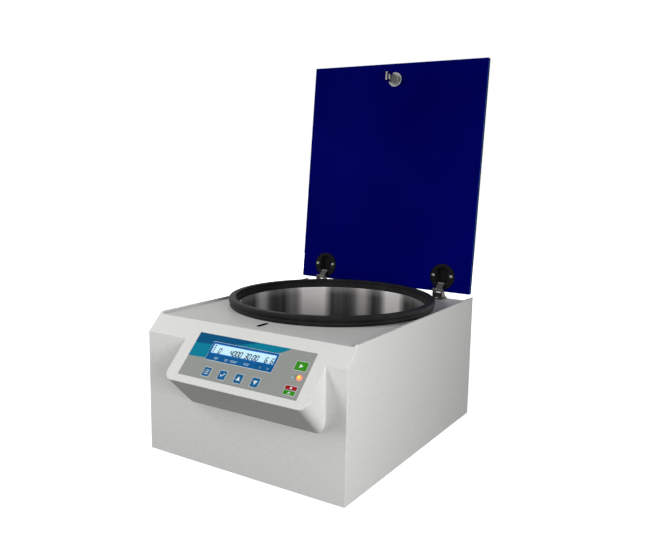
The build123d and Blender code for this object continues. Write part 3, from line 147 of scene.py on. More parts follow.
def noise(tree, place, scale, detail=2.0, roughness=0.5):
    """Factor of a noise over a place. A scale of 1000 has about one grain in a millimetre."""
    texture = tree.nodes.new("ShaderNodeTexNoise")
    texture.inputs["Scale"].default_value = scale
    texture.inputs["Detail"].default_value = detail
    texture.inputs["Roughness"].default_value = roughness
    tree.links.new(place, texture.inputs["Vector"])
    return texture.outputs["Fac"]


def spread(tree, factor, low, high, from_low=0.0, from_high=1.0):
    """A factor mapped from one range of values to another, and held inside it."""
    node = tree.nodes.new("ShaderNodeMapRange")
    node.inputs["From Min"].default_value = from_low
    node.inputs["From Max"].default_value = from_high
    node.inputs["To Min"].default_value = low
    node.inputs["To Max"].default_value = high
    tree.links.new(factor, node.inputs["Value"])
    return node.outputs["Result"]


def follow(tree, grain, low, high):
    """A value between two values that follows a noise."""
    return spread(tree, grain, low, high, NOISE_LOW, NOISE_HIGH)


def blend_colours(tree, factor, first, second):
    """Colour between two colours by a factor. Either may be a socket."""
    node = tree.nodes.new("ShaderNodeMix")
    node.data_type = "RGBA"
    tree.links.new(factor, node.inputs["Factor"])
    feed(tree, node.inputs[MIX_FIRST], first)
    feed(tree, node.inputs[MIX_SECOND], second)
    return node.outputs[MIX_RESULT]


def blend_by_noise(tree, grain, first, second):
    """Colour between two colours that follows a noise."""
    return blend_colours(tree, follow(tree, grain, 0, 1), first, second)


def step(tree, operation, first, second=0.0):
    """Result of a sum, a product or another such step. Either value may be a socket."""
    node = tree.nodes.new("ShaderNodeMath")
    node.operation = operation
    feed(tree, node.inputs[0], first)
    feed(tree, node.inputs[1], second)
    return node.outputs[0]


def vector_step(tree, operation, vector):
    """Node of a step on a vector."""
    node = tree.nodes.new("ShaderNodeVectorMath")
    node.operation = operation
    tree.links.new(vector, node.inputs[0])
    return node


def parts_of(tree, vector):
    """The X, the Y and the Z of a vector."""
    node = tree.nodes.new("ShaderNodeSeparateXYZ")
    tree.links.new(vector, node.inputs["Vector"])
    return node.outputs["X"], node.outputs["Y"], node.outputs["Z"]


def bump(tree, shader, height, strength, depth):
    """Bump on the shader from a height."""
    node = tree.nodes.new("ShaderNodeBump")
    node.inputs["Strength"].default_value = strength
    node.inputs["Distance"].default_value = depth * MM
    tree.links.new(height, node.inputs["Height"])
    tree.links.new(node.outputs["Normal"], shader.inputs["Normal"])


def stretched(tree, place, stretch, middle=(0, 0, 0)):
    """Place moved to a middle and stretched along its axes."""
    node = tree.nodes.new("ShaderNodeMapping")
    node.inputs["Scale"].default_value = stretch
    node.inputs["Location"].default_value = [-m * s for m, s in zip(middle, stretch)]
    tree.links.new(place, node.inputs["Vector"])
    return node.outputs["Vector"]


def console_place(tree, place):
    """Place on the console's face in millimetres: X across, Y up the face, Z out of it."""
    node = tree.nodes.new("ShaderNodeMapping")
    node.vector_type = "TEXTURE"
    node.inputs["Location"].default_value = CONSOLE.to_translation()
    node.inputs["Rotation"].default_value = CONSOLE.to_euler()
    node.inputs["Scale"].default_value = (MM, MM, MM)
    tree.links.new(place, node.inputs["Vector"])
    return node.outputs["Vector"]


def ellipse_reach(tree, face, middle, across, up):
    """Distance from a middle on the face, as a share of an ellipse's two half sizes."""
    offset = stretched(tree, face, (1 / across, 1 / up, 0), (*middle, 0))
    return vector_step(tree, "LENGTH", offset).outputs["Value"]


def edge_distance(tree, face, middle, size):
    """Distance from a point of a rectangle on the face to its nearest edge."""
    offset = stretched(tree, face, (1, 1, 0), (*middle, 0))
    across, up, _ = parts_of(tree, vector_step(tree, "ABSOLUTE", offset).outputs["Vector"])
    beside = step(tree, "SUBTRACT", size[0] / 2, across)
    above = step(tree, "SUBTRACT", size[1] / 2, up)
    return step(tree, "MINIMUM", beside, above)


# Finishes


def powder_coat():
    """Off-white powder coat with a fine speckle and the small waves of such a coat."""
    material, tree, shader, place = new_material("powder_coat")
    speckle = noise(tree, place, scale=1500.0, detail=3.0, roughness=0.7)
    spots = spread(tree, speckle, 0, 1, from_low=0.38, from_high=0.62)
    waves = noise(tree, place, scale=420.0)
    set_shader(
        shader,
        Base_Color=blend_colours(tree, spots, (0.60, 0.60, 0.585), (0.80, 0.80, 0.785)),
        Roughness=follow(tree, waves, 0.36, 0.50),
        IOR=1.10,
    )
    bump(tree, shader, waves, strength=0.25, depth=0.3)
    return material


def moulded_plastic(name, colour, roughness, shine=0.25):
    """Moulded plastic with a fine grain and slightly uneven gloss."""
    material, tree, shader, place = new_material(name)
    grains = noise(tree, place, scale=1800.0)
    patches = noise(tree, place, scale=60.0, detail=3.0)
    lighter = tuple(min(1.0, channel * 1.25 + 0.004) for channel in colour)
    set_shader(
        shader,
        Base_Color=blend_by_noise(tree, patches, colour, lighter),
        Roughness=follow(tree, patches, roughness * 0.85, roughness * 1.15),
        Specular_IOR_Level=shine,
    )
    bump(tree, shader, grains, strength=0.12, depth=0.2)
    return material


def plated_metal(name, colour, roughness):
    """Plated or machined metal with fine marks."""
    material, tree, shader, place = new_material(name)
    marks = noise(tree, place, scale=900.0, detail=4.0, roughness=0.6)
    darker = tuple(channel * 0.78 for channel in colour)
    set_shader(
        shader,
        Base_Color=blend_by_noise(tree, marks, darker, colour),
        Roughness=follow(tree, marks, roughness * 0.7, roughness * 1.3),
        Metallic=1.0,
    )
    bump(tree, shader, marks, strength=0.04, depth=0.15)
    return material


def black_rubber():
    """Black rubber, softly uneven, with a dusty bloom in places."""
    material, tree, shader, place = new_material("black_rubber")
    bloom = noise(tree, place, scale=35.0, detail=5.0, roughness=0.6)
    dust = spread(tree, bloom, 0, 1, from_low=0.4, from_high=0.75)
    set_shader(
        shader,
        Base_Color=blend_colours(tree, dust, (0.008, 0.008, 0.0085), (0.0188, 0.0188, 0.0196)),
        Roughness=follow(tree, bloom, 0.4675, 0.66),
        Specular_IOR_Level=0.12,
    )
    bump(tree, shader, noise(tree, place, scale=900.0, detail=3.0), strength=0.15, depth=0.3)
    return material


# Painted reflections on the bowl's wall, as bright bands: middle and half width in degrees from the machine's
# right, and brightness
BOWL_PAINTED_REFLECTIONS = (
    (76, 12.5, 1.5), (100, 8, 0.45), (135, 14, 2.0), (150, 7, 0.25), (176, 10, 0.6), (212, 10, 0.5),
    (246, 15, 1.5), (300, 34, 2.4), (352, 12, 0.8), (18, 9, 0.5),
)
BOWL_BASE_TONE = 0.04

# Painted light: the wall grows lighter between these two depths under the top of the bowl
PAINTED_LIGHT_LOW = 12.9
PAINTED_LIGHT_HIGH = 2.9


def painted_reflection_band(tree, angle, middle, half_width, brightness):
    """Tone of a painted reflection, a bright band round a middle angle, fading to nothing over its half width, in
    degrees.
    """
    away = step(tree, "PINGPONG", step(tree, "SUBTRACT", angle, radians(middle)), pi)
    fading = spread(tree, away, brightness, 0.0, from_high=radians(half_width))
    fading.node.interpolation_type = "SMOOTHSTEP"
    return fading


def turned_steel():
    """Brushed stainless bowl: painted reflections as bright upright bands and fine upright streaks, painted light
    that makes the top of the wall lighter, and fine marks that run round the wall.
    """
    material, tree, shader, place = new_material("turned_steel")
    offset = stretched(tree, place, (1, 1, 0), CHAMBER)
    across, along, _ = parts_of(tree, offset)
    angle = step(tree, "ARCTAN2", along, across)
    # Painted reflections: bright bands summed round the wall, on a low base tone
    painted_reflections = BOWL_BASE_TONE
    for middle, half_width, brightness in BOWL_PAINTED_REFLECTIONS:
        painted_reflections = step(tree, "ADD", painted_reflections, painted_reflection_band(tree, angle, middle, half_width, brightness))
    outward = vector_step(tree, "NORMALIZE", offset).outputs["Vector"]
    # Painted reflection: fine upright streaks that follow the angle round the bowl
    reflection_streaks = noise(tree, outward, scale=18.0, detail=3.0, roughness=0.6)
    top = box_mm("bowl")[1].z
    _, _, height = parts_of(tree, place)
    # Painted light: the top of the wall is made lighter
    painted_light_top = spread(tree, height, 0, 0.15, (top - PAINTED_LIGHT_LOW) * MM, (top - PAINTED_LIGHT_HIGH) * MM)
    painted_light_and_streaks = step(tree, "ADD", painted_light_top, follow(tree, reflection_streaks, -0.05, 0.05))
    level = spread(tree, step(tree, "ADD", painted_reflections, painted_light_and_streaks), 0, 1)
    marks = noise(tree, stretched(tree, place, (1, 1, 40)), scale=60.0, detail=4.0, roughness=0.6)
    set_shader(
        shader,
        Base_Color=blend_colours(tree, level, (0.045, 0.043, 0.042), (0.98, 0.96, 0.94)),
        Roughness=follow(tree, marks, 0.36, 0.48),
        Metallic=0.5,
        Specular_IOR_Level=0.3,
    )
    bump(tree, shader, marks, strength=0.04, depth=0.2)
    return material


def lid_sheet():
    """Deep blue sheet with a hard gloss: a painted highlight along its chamfers and painted shade that makes its
    edges nearly black.
    """
    material, tree, shader, place = new_material("lid_sheet")
    facing = vector_step(tree, "DOT_PRODUCT", place.node.outputs["Normal"])
    facing.inputs[1].default_value = LID_OUT
    flatness = step(tree, "ABSOLUTE", facing.outputs["Value"])
    cloud = noise(tree, place, scale=5.0, detail=3.0)
    faces = blend_by_noise(tree, cloud, (0.0, 0.0, 0.080), (0.0, 0.001, 0.115))
    # Painted highlight on the chamfers and painted shade on the side edges, chosen by how far a face turns from
    # the lid's face
    chamfer_highlight = spread(tree, flatness, 0, 1, from_low=0.15, from_high=0.55)
    edges = blend_colours(tree, chamfer_highlight, (0.0, 0.008, 0.016), (0.02, 0.07, 0.34))
    flat = spread(tree, flatness, 0, 1, from_low=0.8, from_high=0.95)
    smears = noise(tree, place, scale=14.0, detail=4.0)
    set_shader(
        shader,
        Base_Color=blend_colours(tree, flat, edges, faces),
        Roughness=follow(tree, smears, 0.14, 0.20),
        IOR=1.06,
        Specular_IOR_Level=0.4,
    )
    return material


# The accent on the console's overlay: two ellipses round one middle, each by its half sizes
SWEEP_MIDDLE = (-74.6, 50.0)
TEAL_SWEEP = (176.0, 72.8)
BLUE_SWEEP = (141.5, 52.0)
SWEEP_EDGE = 0.005


def inside_sweep(tree, face, half_sizes):
    """1 inside one of the accent's ellipses and 0 outside it."""
    reach = ellipse_reach(tree, face, SWEEP_MIDDLE, *half_sizes)
    return spread(tree, reach, 1, 0, 1 - SWEEP_EDGE, 1 + SWEEP_EDGE)


def printed_overlay():
    """Grey printed face of the console, with a two-tone curved accent in its upper left corner."""
    material, tree, shader, place = new_material("printed_overlay")
    face = console_place(tree, place)
    mottle = noise(tree, place, scale=900.0, detail=3.0, roughness=0.6)
    grey = blend_by_noise(tree, mottle, (0.255, 0.27, 0.252), (0.32, 0.335, 0.315))
    teal = blend_colours(tree, inside_sweep(tree, face, TEAL_SWEEP), grey, (0.004, 0.195, 0.300))
    set_shader(
        shader,
        Base_Color=blend_colours(tree, inside_sweep(tree, face, BLUE_SWEEP), teal, (0.003, 0.080, 0.195)),
        Roughness=follow(tree, mottle, 0.36, 0.46),
        Specular_IOR_Level=0.05,
    )
    bump(tree, shader, noise(tree, place, scale=1800.0), strength=0.15, depth=0.1)
    return material


def lit_display():
    """Backlit display: pale in the middle, bluer within a millimetre of its edges, and faintly uneven."""
    material, tree, shader, place = new_material("lit_display")
    middle, size, _ = on_console("display_window")
    inward = edge_distance(tree, console_place(tree, place), middle, size)
    rim = spread(tree, inward, 0, 1, from_low=0.1, from_high=1.1)
    glow = blend_colours(tree, rim, (0.0, 0.20, 0.72), (0.46, 0.68, 0.80))
    cloud = follow(tree, noise(tree, place, scale=30.0), 0, 0.25)
    tone = blend_colours(tree, cloud, glow, (0.38, 0.62, 0.80))
    set_shader(shader, Base_Color=tone, Emission_Color=tone, Emission_Strength=0.35)
    set_shader(shader, Roughness=0.25, Specular_IOR_Level=0.05)
    return material


STATUS_LAMP_RADIUS = 4.0


def lamp_lenses():
    """The status lamp glows from yellow to red at its rim, the small power lamp is pale blue."""
    material, tree, shader, place = new_material("lamp_lenses")
    middle, size, _ = on_console("indicator_lamps")
    status_lamp = (middle[0] + size[0] / 2 - STATUS_LAMP_RADIUS, middle[1])
    face = console_place(tree, place)
    reach = ellipse_reach(tree, face, status_lamp, STATUS_LAMP_RADIUS, STATUS_LAMP_RADIUS)
    outer = spread(tree, reach, 0, 1, from_low=0.55, from_high=0.95)
    inner = spread(tree, reach, 0, 1, from_low=0.15, from_high=0.55)
    beyond = spread(tree, reach, 0, 1, from_low=1.3, from_high=1.5)
    rim = blend_colours(tree, outer, (1.0, 0.30, 0.03), (0.95, 0.22, 0.20))
    warm = blend_colours(tree, inner, (1.0, 0.78, 0.10), rim)
    tone = blend_colours(tree, beyond, warm, (0.22, 0.36, 0.42))
    gloss = follow(tree, noise(tree, place, scale=300.0), 0.2, 0.3)
    set_shader(shader, Base_Color=tone, Emission_Color=tone, Roughness=gloss, Emission_Strength=0.55)
    return material


def circuit_board():
    """Green board with darker tracks."""
    material, tree, shader, place = new_material("circuit_board")
    cells = tree.nodes.new("ShaderNodeTexVoronoi")
    cells.inputs["Scale"].default_value = 260.0
    tree.links.new(place, cells.inputs["Vector"])
    tracks = spread(tree, cells.outputs["Distance"], 0, 1, from_low=0.2, from_high=0.6)
    tone = blend_colours(tree, tracks, (0.01, 0.07, 0.03), (0.03, 0.20, 0.08))
    set_shader(shader, Base_Color=tone, Roughness=0.35)
    return material


finishes = {
    "casing_paint": powder_coat(),
    "zinc_plate": plated_metal("zinc_plate", (0.60, 0.61, 0.62), 0.38),
    "plated_steel": plated_metal("plated_steel", (0.42, 0.42, 0.43), 0.30),
    "hinge_steel": plated_metal("hinge_steel", (0.155, 0.15, 0.14), 0.40),
    "chrome": plated_metal("chrome", (0.32, 0.33, 0.32), 0.15),
    "bowl_steel": turned_steel(),
    "black_rubber": black_rubber(),
    "lid_blue": lid_sheet(),
    "black_plastic": moulded_plastic("black_plastic", (0.005, 0.005, 0.006), 0.32, shine=0.04),
    "motor_aluminium": plated_metal("motor_aluminium", (0.50, 0.51, 0.53), 0.5),
    "motor_iron": plated_metal("motor_iron", (0.20, 0.20, 0.21), 0.45),
    "rotor_aluminium": plated_metal("rotor_aluminium", (0.66, 0.67, 0.69), 0.30),
    "solenoid_case": moulded_plastic("solenoid_case", (0.02, 0.02, 0.022), 0.35),
    "overlay_grey": printed_overlay(),
    "display_blue": moulded_plastic("display_blue", (0.003, 0.085, 0.25), 0.30, shine=0.03),
    "display_glow": lit_display(),
    "key_blue": moulded_plastic("key_blue", (0.006, 0.100, 0.25), 0.38, shine=0.05),
    "key_green": moulded_plastic("key_green", (0.030, 0.22, 0.005), 0.38, shine=0.08),
    "key_red": moulded_plastic("key_red", (0.30, 0.008, 0.010), 0.38, shine=0.08),
    "lamp_amber": lamp_lenses(),
    "board_green": circuit_board(),
    "brass": plated_metal("brass", (0.62, 0.45, 0.18), 0.28),
}

for subpart in frame["record"]["subparts"]:
    node = nodes[subpart["node"]]
    node.data.materials.clear()
    node.data.materials.append(finishes[subpart["material_slot"]])

# Nodes whose finish in the photo isn't that of their slot
OTHER_FINISHES = {
    # Painted shade: the hinge pins are made nearly black, as they lie in shade in the cups' recesses
    "hinge_pins": plated_metal("painted_shade_pins", (0.03, 0.03, 0.03), 0.5),
    "striker_tongue": finishes["chrome"],
    "striker_nut": finishes["chrome"],
    "left_hinge_bracket": finishes["hinge_steel"],
    "right_hinge_bracket": finishes["hinge_steel"],
}
for name, finish in OTHER_FINISHES.items():
    nodes[name].data.materials[0] = finish

WHITE_PRINT = moulded_plastic("white_print", (0.62, 0.68, 0.70), 0.45)
DARK_PRINT = moulded_plastic("dark_print", (0.005, 0.007, 0.014), 0.45, shine=0.05)
PALE_PRINT = moulded_plastic("pale_print", (0.30, 0.45, 0.55), 0.45, shine=0.05)
# Painted shade: near-black plastic for the slot's edging, which stands in for the shade inside the slot
SLOT_SHADE_BLACK = moulded_plastic("slot_shade_black", (0.003, 0.003, 0.003), 0.9, shine=0.04)

# Steps of the pieces

SHARP_ANGLE = radians(32)
CORNER_SEGMENTS = 4
PRINT_DEPTH = 0.06


def finished(shape, name, body, material):
    """Turns a bmesh into a piece that rides on a body, with smooth faces between sharp corners."""
    for face in shape.faces:
        face.smooth = True
    mesh = bpy.data.meshes.new(name)
    shape.to_mesh(mesh)
    shape.free()
    mesh.set_sharp_from_angle(angle=SHARP_ANGLE)
    mesh.materials.append(material)
    piece = bpy.data.objects.new(name, mesh)
    bpy.context.scene.collection.objects.link(piece)
    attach(piece, body)
    return piece


def copy_into(shape, other):
    """Adds another bmesh to a bmesh and frees it."""
    carrier = bpy.data.meshes.new("carrier")
    other.to_mesh(carrier)
    other.free()
    shape.from_mesh(carrier)
    bpy.data.meshes.remove(carrier)


def vertices_in(geometry):
    """The vertices among what an operator made."""
    return [part for part in geometry if isinstance(part, bmesh.types.BMVert)]


def face_box(shape, middle, size, corner=0.0, lean=0.0):
    """Adds a flat rectangle, with rounded corners if asked and leaning if asked."""
    place = Matrix.Translation((*middle, 0)) @ Matrix.Rotation(lean, 4, "Z") @ Matrix.Diagonal((*size, 1, 1))
    made = bmesh.ops.create_grid(shape, x_segments=1, y_segments=1, size=0.5, matrix=place)
    if corner:
        bmesh.ops.bevel(
            shape,
            geom=made["verts"],
            offset=corner,
            segments=CORNER_SEGMENTS,
            profile=0.5,
            affect="VERTICES",
            material=-1,
        )


def inset(shape, faces, width):
    """Divides flat faces into a rim of a width and the rest."""
    bmesh.ops.inset_region(shape, faces=faces, thickness=width, use_boundary=True, use_even_offset=True)


def outline_drawing(middle, size, width, corner):
    """A flat rectangular outline of a width outside a size, and the edges of its opening."""
    flat = bmesh.new()
    face_box(flat, middle, (size[0] + 2 * width, size[1] + 2 * width), corner + width)
    inset(flat, flat.faces[:], width)
    centre = Vector((*middle, 0))
    inner = min(flat.faces, key=lambda face: (face.calc_center_median() - centre).length)
    opening = inner.edges[:]
    bmesh.ops.delete(flat, geom=[inner], context="FACES_ONLY")
    return flat, opening


def face_outline(shape, middle, size, width, corner):
    """Adds a flat rectangular outline of a width outside a size."""
    flat, _ = outline_drawing(middle, size, width, corner)
    copy_into(shape, flat)


def face_shape(shape, middle, segments, size, turn=0.0):
    """Adds a flat regular polygon, turned and then stretched to a size."""
    stretch = Matrix.Diagonal((*size, 1, 1))
    place = Matrix.Translation((*middle, 0)) @ stretch @ Matrix.Rotation(turn, 4, "Z")
    bmesh.ops.create_circle(shape, cap_ends=True, segments=segments, radius=0.5, matrix=place)


def print_on(shape, plane, name, body, material):
    """Gives a drawing the thickness of a print and lays it on a plane of the model, as a piece."""
    grown = bmesh.ops.extrude_face_region(shape, geom=shape.faces[:], use_keep_orig=True)["geom"]
    bmesh.ops.translate(shape, verts=vertices_in(grown), vec=(0, 0, PRINT_DEPTH))
    bmesh.ops.recalc_face_normals(shape, faces=shape.faces[:])
    shape.transform(plane @ IN_MM)
    finished(shape, name, body, material)


def print_on_console(shape, height, name, body, material):
    """Makes a drawing a print at a height over the console's face."""
    bmesh.ops.translate(shape, verts=shape.verts[:], vec=(0, 0, height))
    print_on(shape, CONSOLE, name, body, material)


# Print on the console

# Bars of a seven-part figure: place as shares of its half width and half height, and whether it stands
FIGURE_BARS = {
    "a": (0, 1, False), "b": (1, 0.5, True), "c": (1, -0.5, True), "d": (0, -1, False),
    "e": (-1, -0.5, True), "f": (-1, 0.5, True), "g": (0, 0, False),
}
FIGURES = {"0": "abcdef", "3": "abgcd", "4": "fgbc", "6": "afgedc"}
FIGURE_SIZE = (3.4, 7.4)
FIGURE_STEP = 5.2
FIGURE_SLANT = 0.16
FIGURE_STROKE = 1.3
BAR_GAP = 0.4

# The readings with the place of their first figure across the console, and the row that they stand in
READINGS = (("0", -27.0), ("4000", -7.6), ("30", 17.0), ("00", 29.4), ("6", 49.5), ("6", 58.6))
READING_ROW = -8.4
COLON_PLACE = 25.8
COLON_RISE = 1.6
COLON_DOT = (0.9, 0.9)

# A column of small marks at the display's left: the first one's place, its size, the step and their number
SIDE_MARK = (-37.2, -1.6)
SIDE_MARK_SIZE = (2.6, 1.5)
SIDE_MARK_STEP = 3.0
SIDE_MARKS = 4

# Two rows of bars under the readings: middle and length of each pair, the lower bar shorter and further left
UNDER_READINGS = ((-26.6, 6.4), (-9.4, 6.0), (2.6, 12.0), (23.6, 9.0), (45.8, 1.8), (57.4, 1.8))
UPPER_ROW = -19.0
LOWER_ROW = -20.8
LOWER_SHARE = 0.8
LOWER_SHIFT = -0.3
UNDER_HEIGHT = 0.8

# Outlines round the keys and the display's frame
KEY_GAP = 0.25
KEY_OUTLINE = 0.45
KEY_CORNER = 0.5
FRAME_OUTLINE = 0.5
FRAME_CORNER = 0.1


def add_figure(shape, figure, middle):
    """Adds one figure made of bars, slanted to the right."""
    width, height = FIGURE_SIZE
    for bar in FIGURES[figure]:
        across, up, stands = FIGURE_BARS[bar]
        x = middle[0] + across * width / 2 + up * height / 2 * FIGURE_SLANT
        y = middle[1] + up * height / 2
        length = (height / 2 if stands else width) - BAR_GAP
        lean = pi / 2 - FIGURE_SLANT if stands else 0.0
        face_box(shape, (x, y), (length, FIGURE_STROKE), lean=lean)


def display_digits():
    """Readings on the display: one figure, a speed, a time and two settings, with small marks at the left."""
    shape = bmesh.new()
    for reading, start in READINGS:
        for count, figure in enumerate(reading):
            add_figure(shape, figure, (start + count * FIGURE_STEP, READING_ROW))
    for rise in (COLON_RISE, -COLON_RISE):
        face_box(shape, (COLON_PLACE + rise * FIGURE_SLANT, READING_ROW + rise), COLON_DOT)
    for count in range(SIDE_MARKS):
        face_box(shape, (SIDE_MARK[0], SIDE_MARK[1] - count * SIDE_MARK_STEP), SIDE_MARK_SIZE)
    window_top = on_console("display_window")[2]
    print_on_console(shape, window_top, "display_digits", "casing", DARK_PRINT)


def display_marks():
    """Short plain bars on the display's frame under the readings."""
    shape = bmesh.new()
    for middle, length in UNDER_READINGS:
        face_box(shape, (middle, UPPER_ROW), (length, UNDER_HEIGHT))
        face_box(shape, (middle + LOWER_SHIFT, LOWER_ROW), (length * LOWER_SHARE, UNDER_HEIGHT))
    frame_top = on_console("display_frame")[2]
    print_on_console(shape, frame_top, "display_marks", "casing", PALE_PRINT)


def overlay_lines():
    """Thin pale outlines round the keys and the display's frame."""
    shape = bmesh.new()
    for key in KEY_SYMBOLS:
        middle, size, _ = on_console(key)
        face_outline(shape, middle, [side + 2 * KEY_GAP for side in size], KEY_OUTLINE, KEY_CORNER)
    middle, size, _ = on_console("display_frame")
    face_outline(shape, middle, size, FRAME_OUTLINE, FRAME_CORNER)
    overlay_top = on_console("control_overlay")[2]
    print_on_console(shape, overlay_top, "overlay_lines", "casing", WHITE_PRINT)


def menu_symbol(shape):
    """Three bars of a list, each behind a dot."""
    for up in (2.6, 0.0, -2.6):
        face_box(shape, (0.8, up), (4.6, 0.9))
        face_box(shape, (-3.0, up), (0.9, 0.9))


def confirm_symbol(shape):
    """A plain tick."""
    face_box(shape, (-1.9, -0.9), (3.6, 1.1), lean=-pi / 4)
    face_box(shape, (1.3, 0.6), (6.2, 1.1), lean=pi / 4)


def up_symbol(shape):
    """Triangle pointing up."""
    face_shape(shape, (0, -0.5), 3, (7.2, 7.6))


def down_symbol(shape):
    """Triangle pointing down."""
    face_shape(shape, (0, 0.5), 3, (7.2, 7.6), pi)


def start_symbol(shape):
    """Triangle pointing right."""
    face_shape(shape, (-0.5, 0), 3, (6.6, 6.6), -pi / 2)


def stop_symbol(shape):
    """Square."""
    face_box(shape, (0, 0), (2.8, 2.8))


def open_symbol(shape):
    """Triangle over a bar."""
    face_shape(shape, (0, 0.4), 3, (4.6, 2.8))
    face_box(shape, (0, -1.5), (4.2, 0.7))


KEY_SYMBOLS = {
    "mode_key": menu_symbol,
    "set_key": confirm_symbol,
    "up_key": up_symbol,
    "down_key": down_symbol,
    "start_key": start_symbol,
    "stop_key": stop_symbol,
    "open_key": open_symbol,
}


def key_symbols():
    """One printed symbol on each key, moving with it."""
    for key, draw in KEY_SYMBOLS.items():
        middle, _, key_top = on_console(key)
        shape = bmesh.new()
        draw(shape)
        bmesh.ops.translate(shape, verts=shape.verts[:], vec=(*middle, 0))
        print_on_console(shape, key_top, key + "_symbol", key, WHITE_PRINT)


# The slot's edging, black as painted shade for the inside of the slot

LINER_OPENING = (4.4, 20.4)
LINER_RIM = 0.6
LINER_CORNER = 1.0
LINER_HEIGHT = 0.5
LINER_WALL = 3.0


def shade_slot_liner():
    """Black plastic edging let into the deck's slot, with walls that reach through the sheet: a dark piece that
    stands in for the shade inside the slot.
    """
    bolt_low, bolt_high = box_mm("latch_bolt")
    slot_middle = (0, (bolt_low.y + bolt_high.y) / 2)
    shape, opening = outline_drawing(slot_middle, LINER_OPENING, LINER_RIM, LINER_CORNER)
    bmesh.ops.translate(shape, verts=shape.verts[:], vec=(0, 0, DECK + LINER_HEIGHT))
    outside = [edge for edge in shape.edges if edge.is_boundary and edge not in opening]
    for rim, drop in ((opening, LINER_WALL), (outside, LINER_HEIGHT)):
        grown = bmesh.ops.extrude_edge_only(shape, edges=rim)["geom"]
        bmesh.ops.translate(shape, verts=vertices_in(grown), vec=(0, 0, -drop))
    bmesh.ops.recalc_face_normals(shape, faces=shape.faces[:])
    shape.transform(IN_MM)
    finished(shape, "shade_slot_liner", "casing", SLOT_SHADE_BLACK)


# Screws

# Faces along a side of the head's grid, and its rim and the recess's depth as shares of its height
HEAD_STEPS = 16
HEAD_RIM = 0.25
RECESS_DEPTH = 0.6

# Half width and reach of the recess's arms as shares of the head's radius
RECESS_HALF_WIDTH = 0.17
RECESS_REACH = 0.62

# The radius of the shank's tip as a share of its radius under the head
SHANK_TIP = 0.8
SHANK_SEGMENTS = 20

# Radius and height of the head, radius and length of the shank
CUP_SCREW = (2.8, 1.7, 0.95, 7.8)
BRACKET_SCREW = (2.8, 1.5, 1.4, 5.8)
CASE_SCREW = (4.0, 2.3, 1.9, 9.8)

# Screws of the hinges: where the hinges stand, how far their screws are from their middles, and their plates
HINGE_X = 115.0
CUP_SCREW_UP = 26.3
CUP_SCREW_REACH = 15.8
CUP_PLATE = 2.0
BRACKET_MIDDLE = FRONT + 377.0
BRACKET_SCREW_REACH = 8.3
BRACKET_PLATE = 2.0

# Screws of the case: places across, in from its ends and up, and the thickness of its sheet
FOOT_X = 120.0
FOOT_INSET = 45.0
FOOT_SEAT = 3.5
REAR_SCREW_X = 130.0
UPPER_SCREW_HEIGHT = 197.4
LOWER_SCREW_HEIGHT = 17.0
SHEET = 2.0


def in_recess(place):
    """Whether a place on a unit screw head is in its cross recess."""
    along = max(abs(place.x), abs(place.y))
    beside = min(abs(place.x), abs(place.y))
    return beside < RECESS_HALF_WIDTH and along < RECESS_REACH


def domed_screw(radius, height, shank_radius, length):
    """A round-headed screw with a cross recess, upright, and with the underside of its head at height 0."""
    screw = bmesh.new()
    bmesh.ops.create_grid(screw, x_segments=HEAD_STEPS, y_segments=HEAD_STEPS, size=1.0)
    for vertex in screw.verts:
        x, y = vertex.co.x, vertex.co.y
        vertex.co.x = x * (1 - y * y / 2) ** 0.5
        vertex.co.y = y * (1 - x * x / 2) ** 0.5
        dome = max(0.0, 1 - vertex.co.xy.length_squared) ** 0.5
        vertex.co.z = height / radius * (HEAD_RIM + (1 - HEAD_RIM) * dome)
    rim = [edge for edge in screw.edges if edge.is_boundary]
    for vertex in vertices_in(bmesh.ops.extrude_edge_only(screw, edges=rim)["geom"]):
        vertex.co.z = 0.0
    cross = [face for face in screw.faces if in_recess(face.calc_center_median())]
    sunk = bmesh.ops.extrude_face_region(screw, geom=cross)["geom"]
    bmesh.ops.delete(screw, geom=cross, context="FACES")
    bmesh.ops.translate(screw, verts=vertices_in(sunk), vec=(0, 0, -RECESS_DEPTH * height / radius))
    screw.transform(Matrix.Diagonal((radius, radius, radius, 1)))
    bmesh.ops.create_cone(
        screw,
        cap_ends=True,
        segments=SHANK_SEGMENTS,
        radius1=shank_radius * SHANK_TIP,
        radius2=shank_radius,
        depth=length,
        matrix=Matrix.Translation((0, 0, -length / 2)),
    )
    bmesh.ops.recalc_face_normals(screw, faces=screw.faces[:])
    return screw


def domed_screws(name, node, body, seats, sizes):
    """Domed screws in place of a node's plain ones, each on a seat: a place in metres and a heading."""
    shape = bmesh.new()
    for seat, heading in seats:
        screw = domed_screw(*sizes)
        turn = Vector(heading).to_track_quat("Z", "Y").to_matrix().to_4x4()
        screw.transform(Matrix.Translation(seat) @ turn @ IN_MM)
        copy_into(shape, screw)
    piece = finished(shape, name, body, finishes["plated_steel"])
    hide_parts(node)


def cup_screw_seats():
    """Seats beside the hinges, on the plates of their cups."""
    for hinge in SIDES:
        for side in SIDES:
            place = Vector((hinge * HINGE_X + side * CUP_SCREW_REACH, CUP_SCREW_UP, CUP_PLATE))
            yield LID @ (place * MM), LID_OUT


def bracket_screw_seats():
    """Seats before and behind the hinge brackets' pins, on the plates that stand on the deck."""
    for hinge in SIDES:
        for side in SIDES:
            y = BRACKET_MIDDLE + side * BRACKET_SCREW_REACH
            yield Vector((hinge * HINGE_X, y, DECK + BRACKET_PLATE)) * MM, (0, 0, 1)


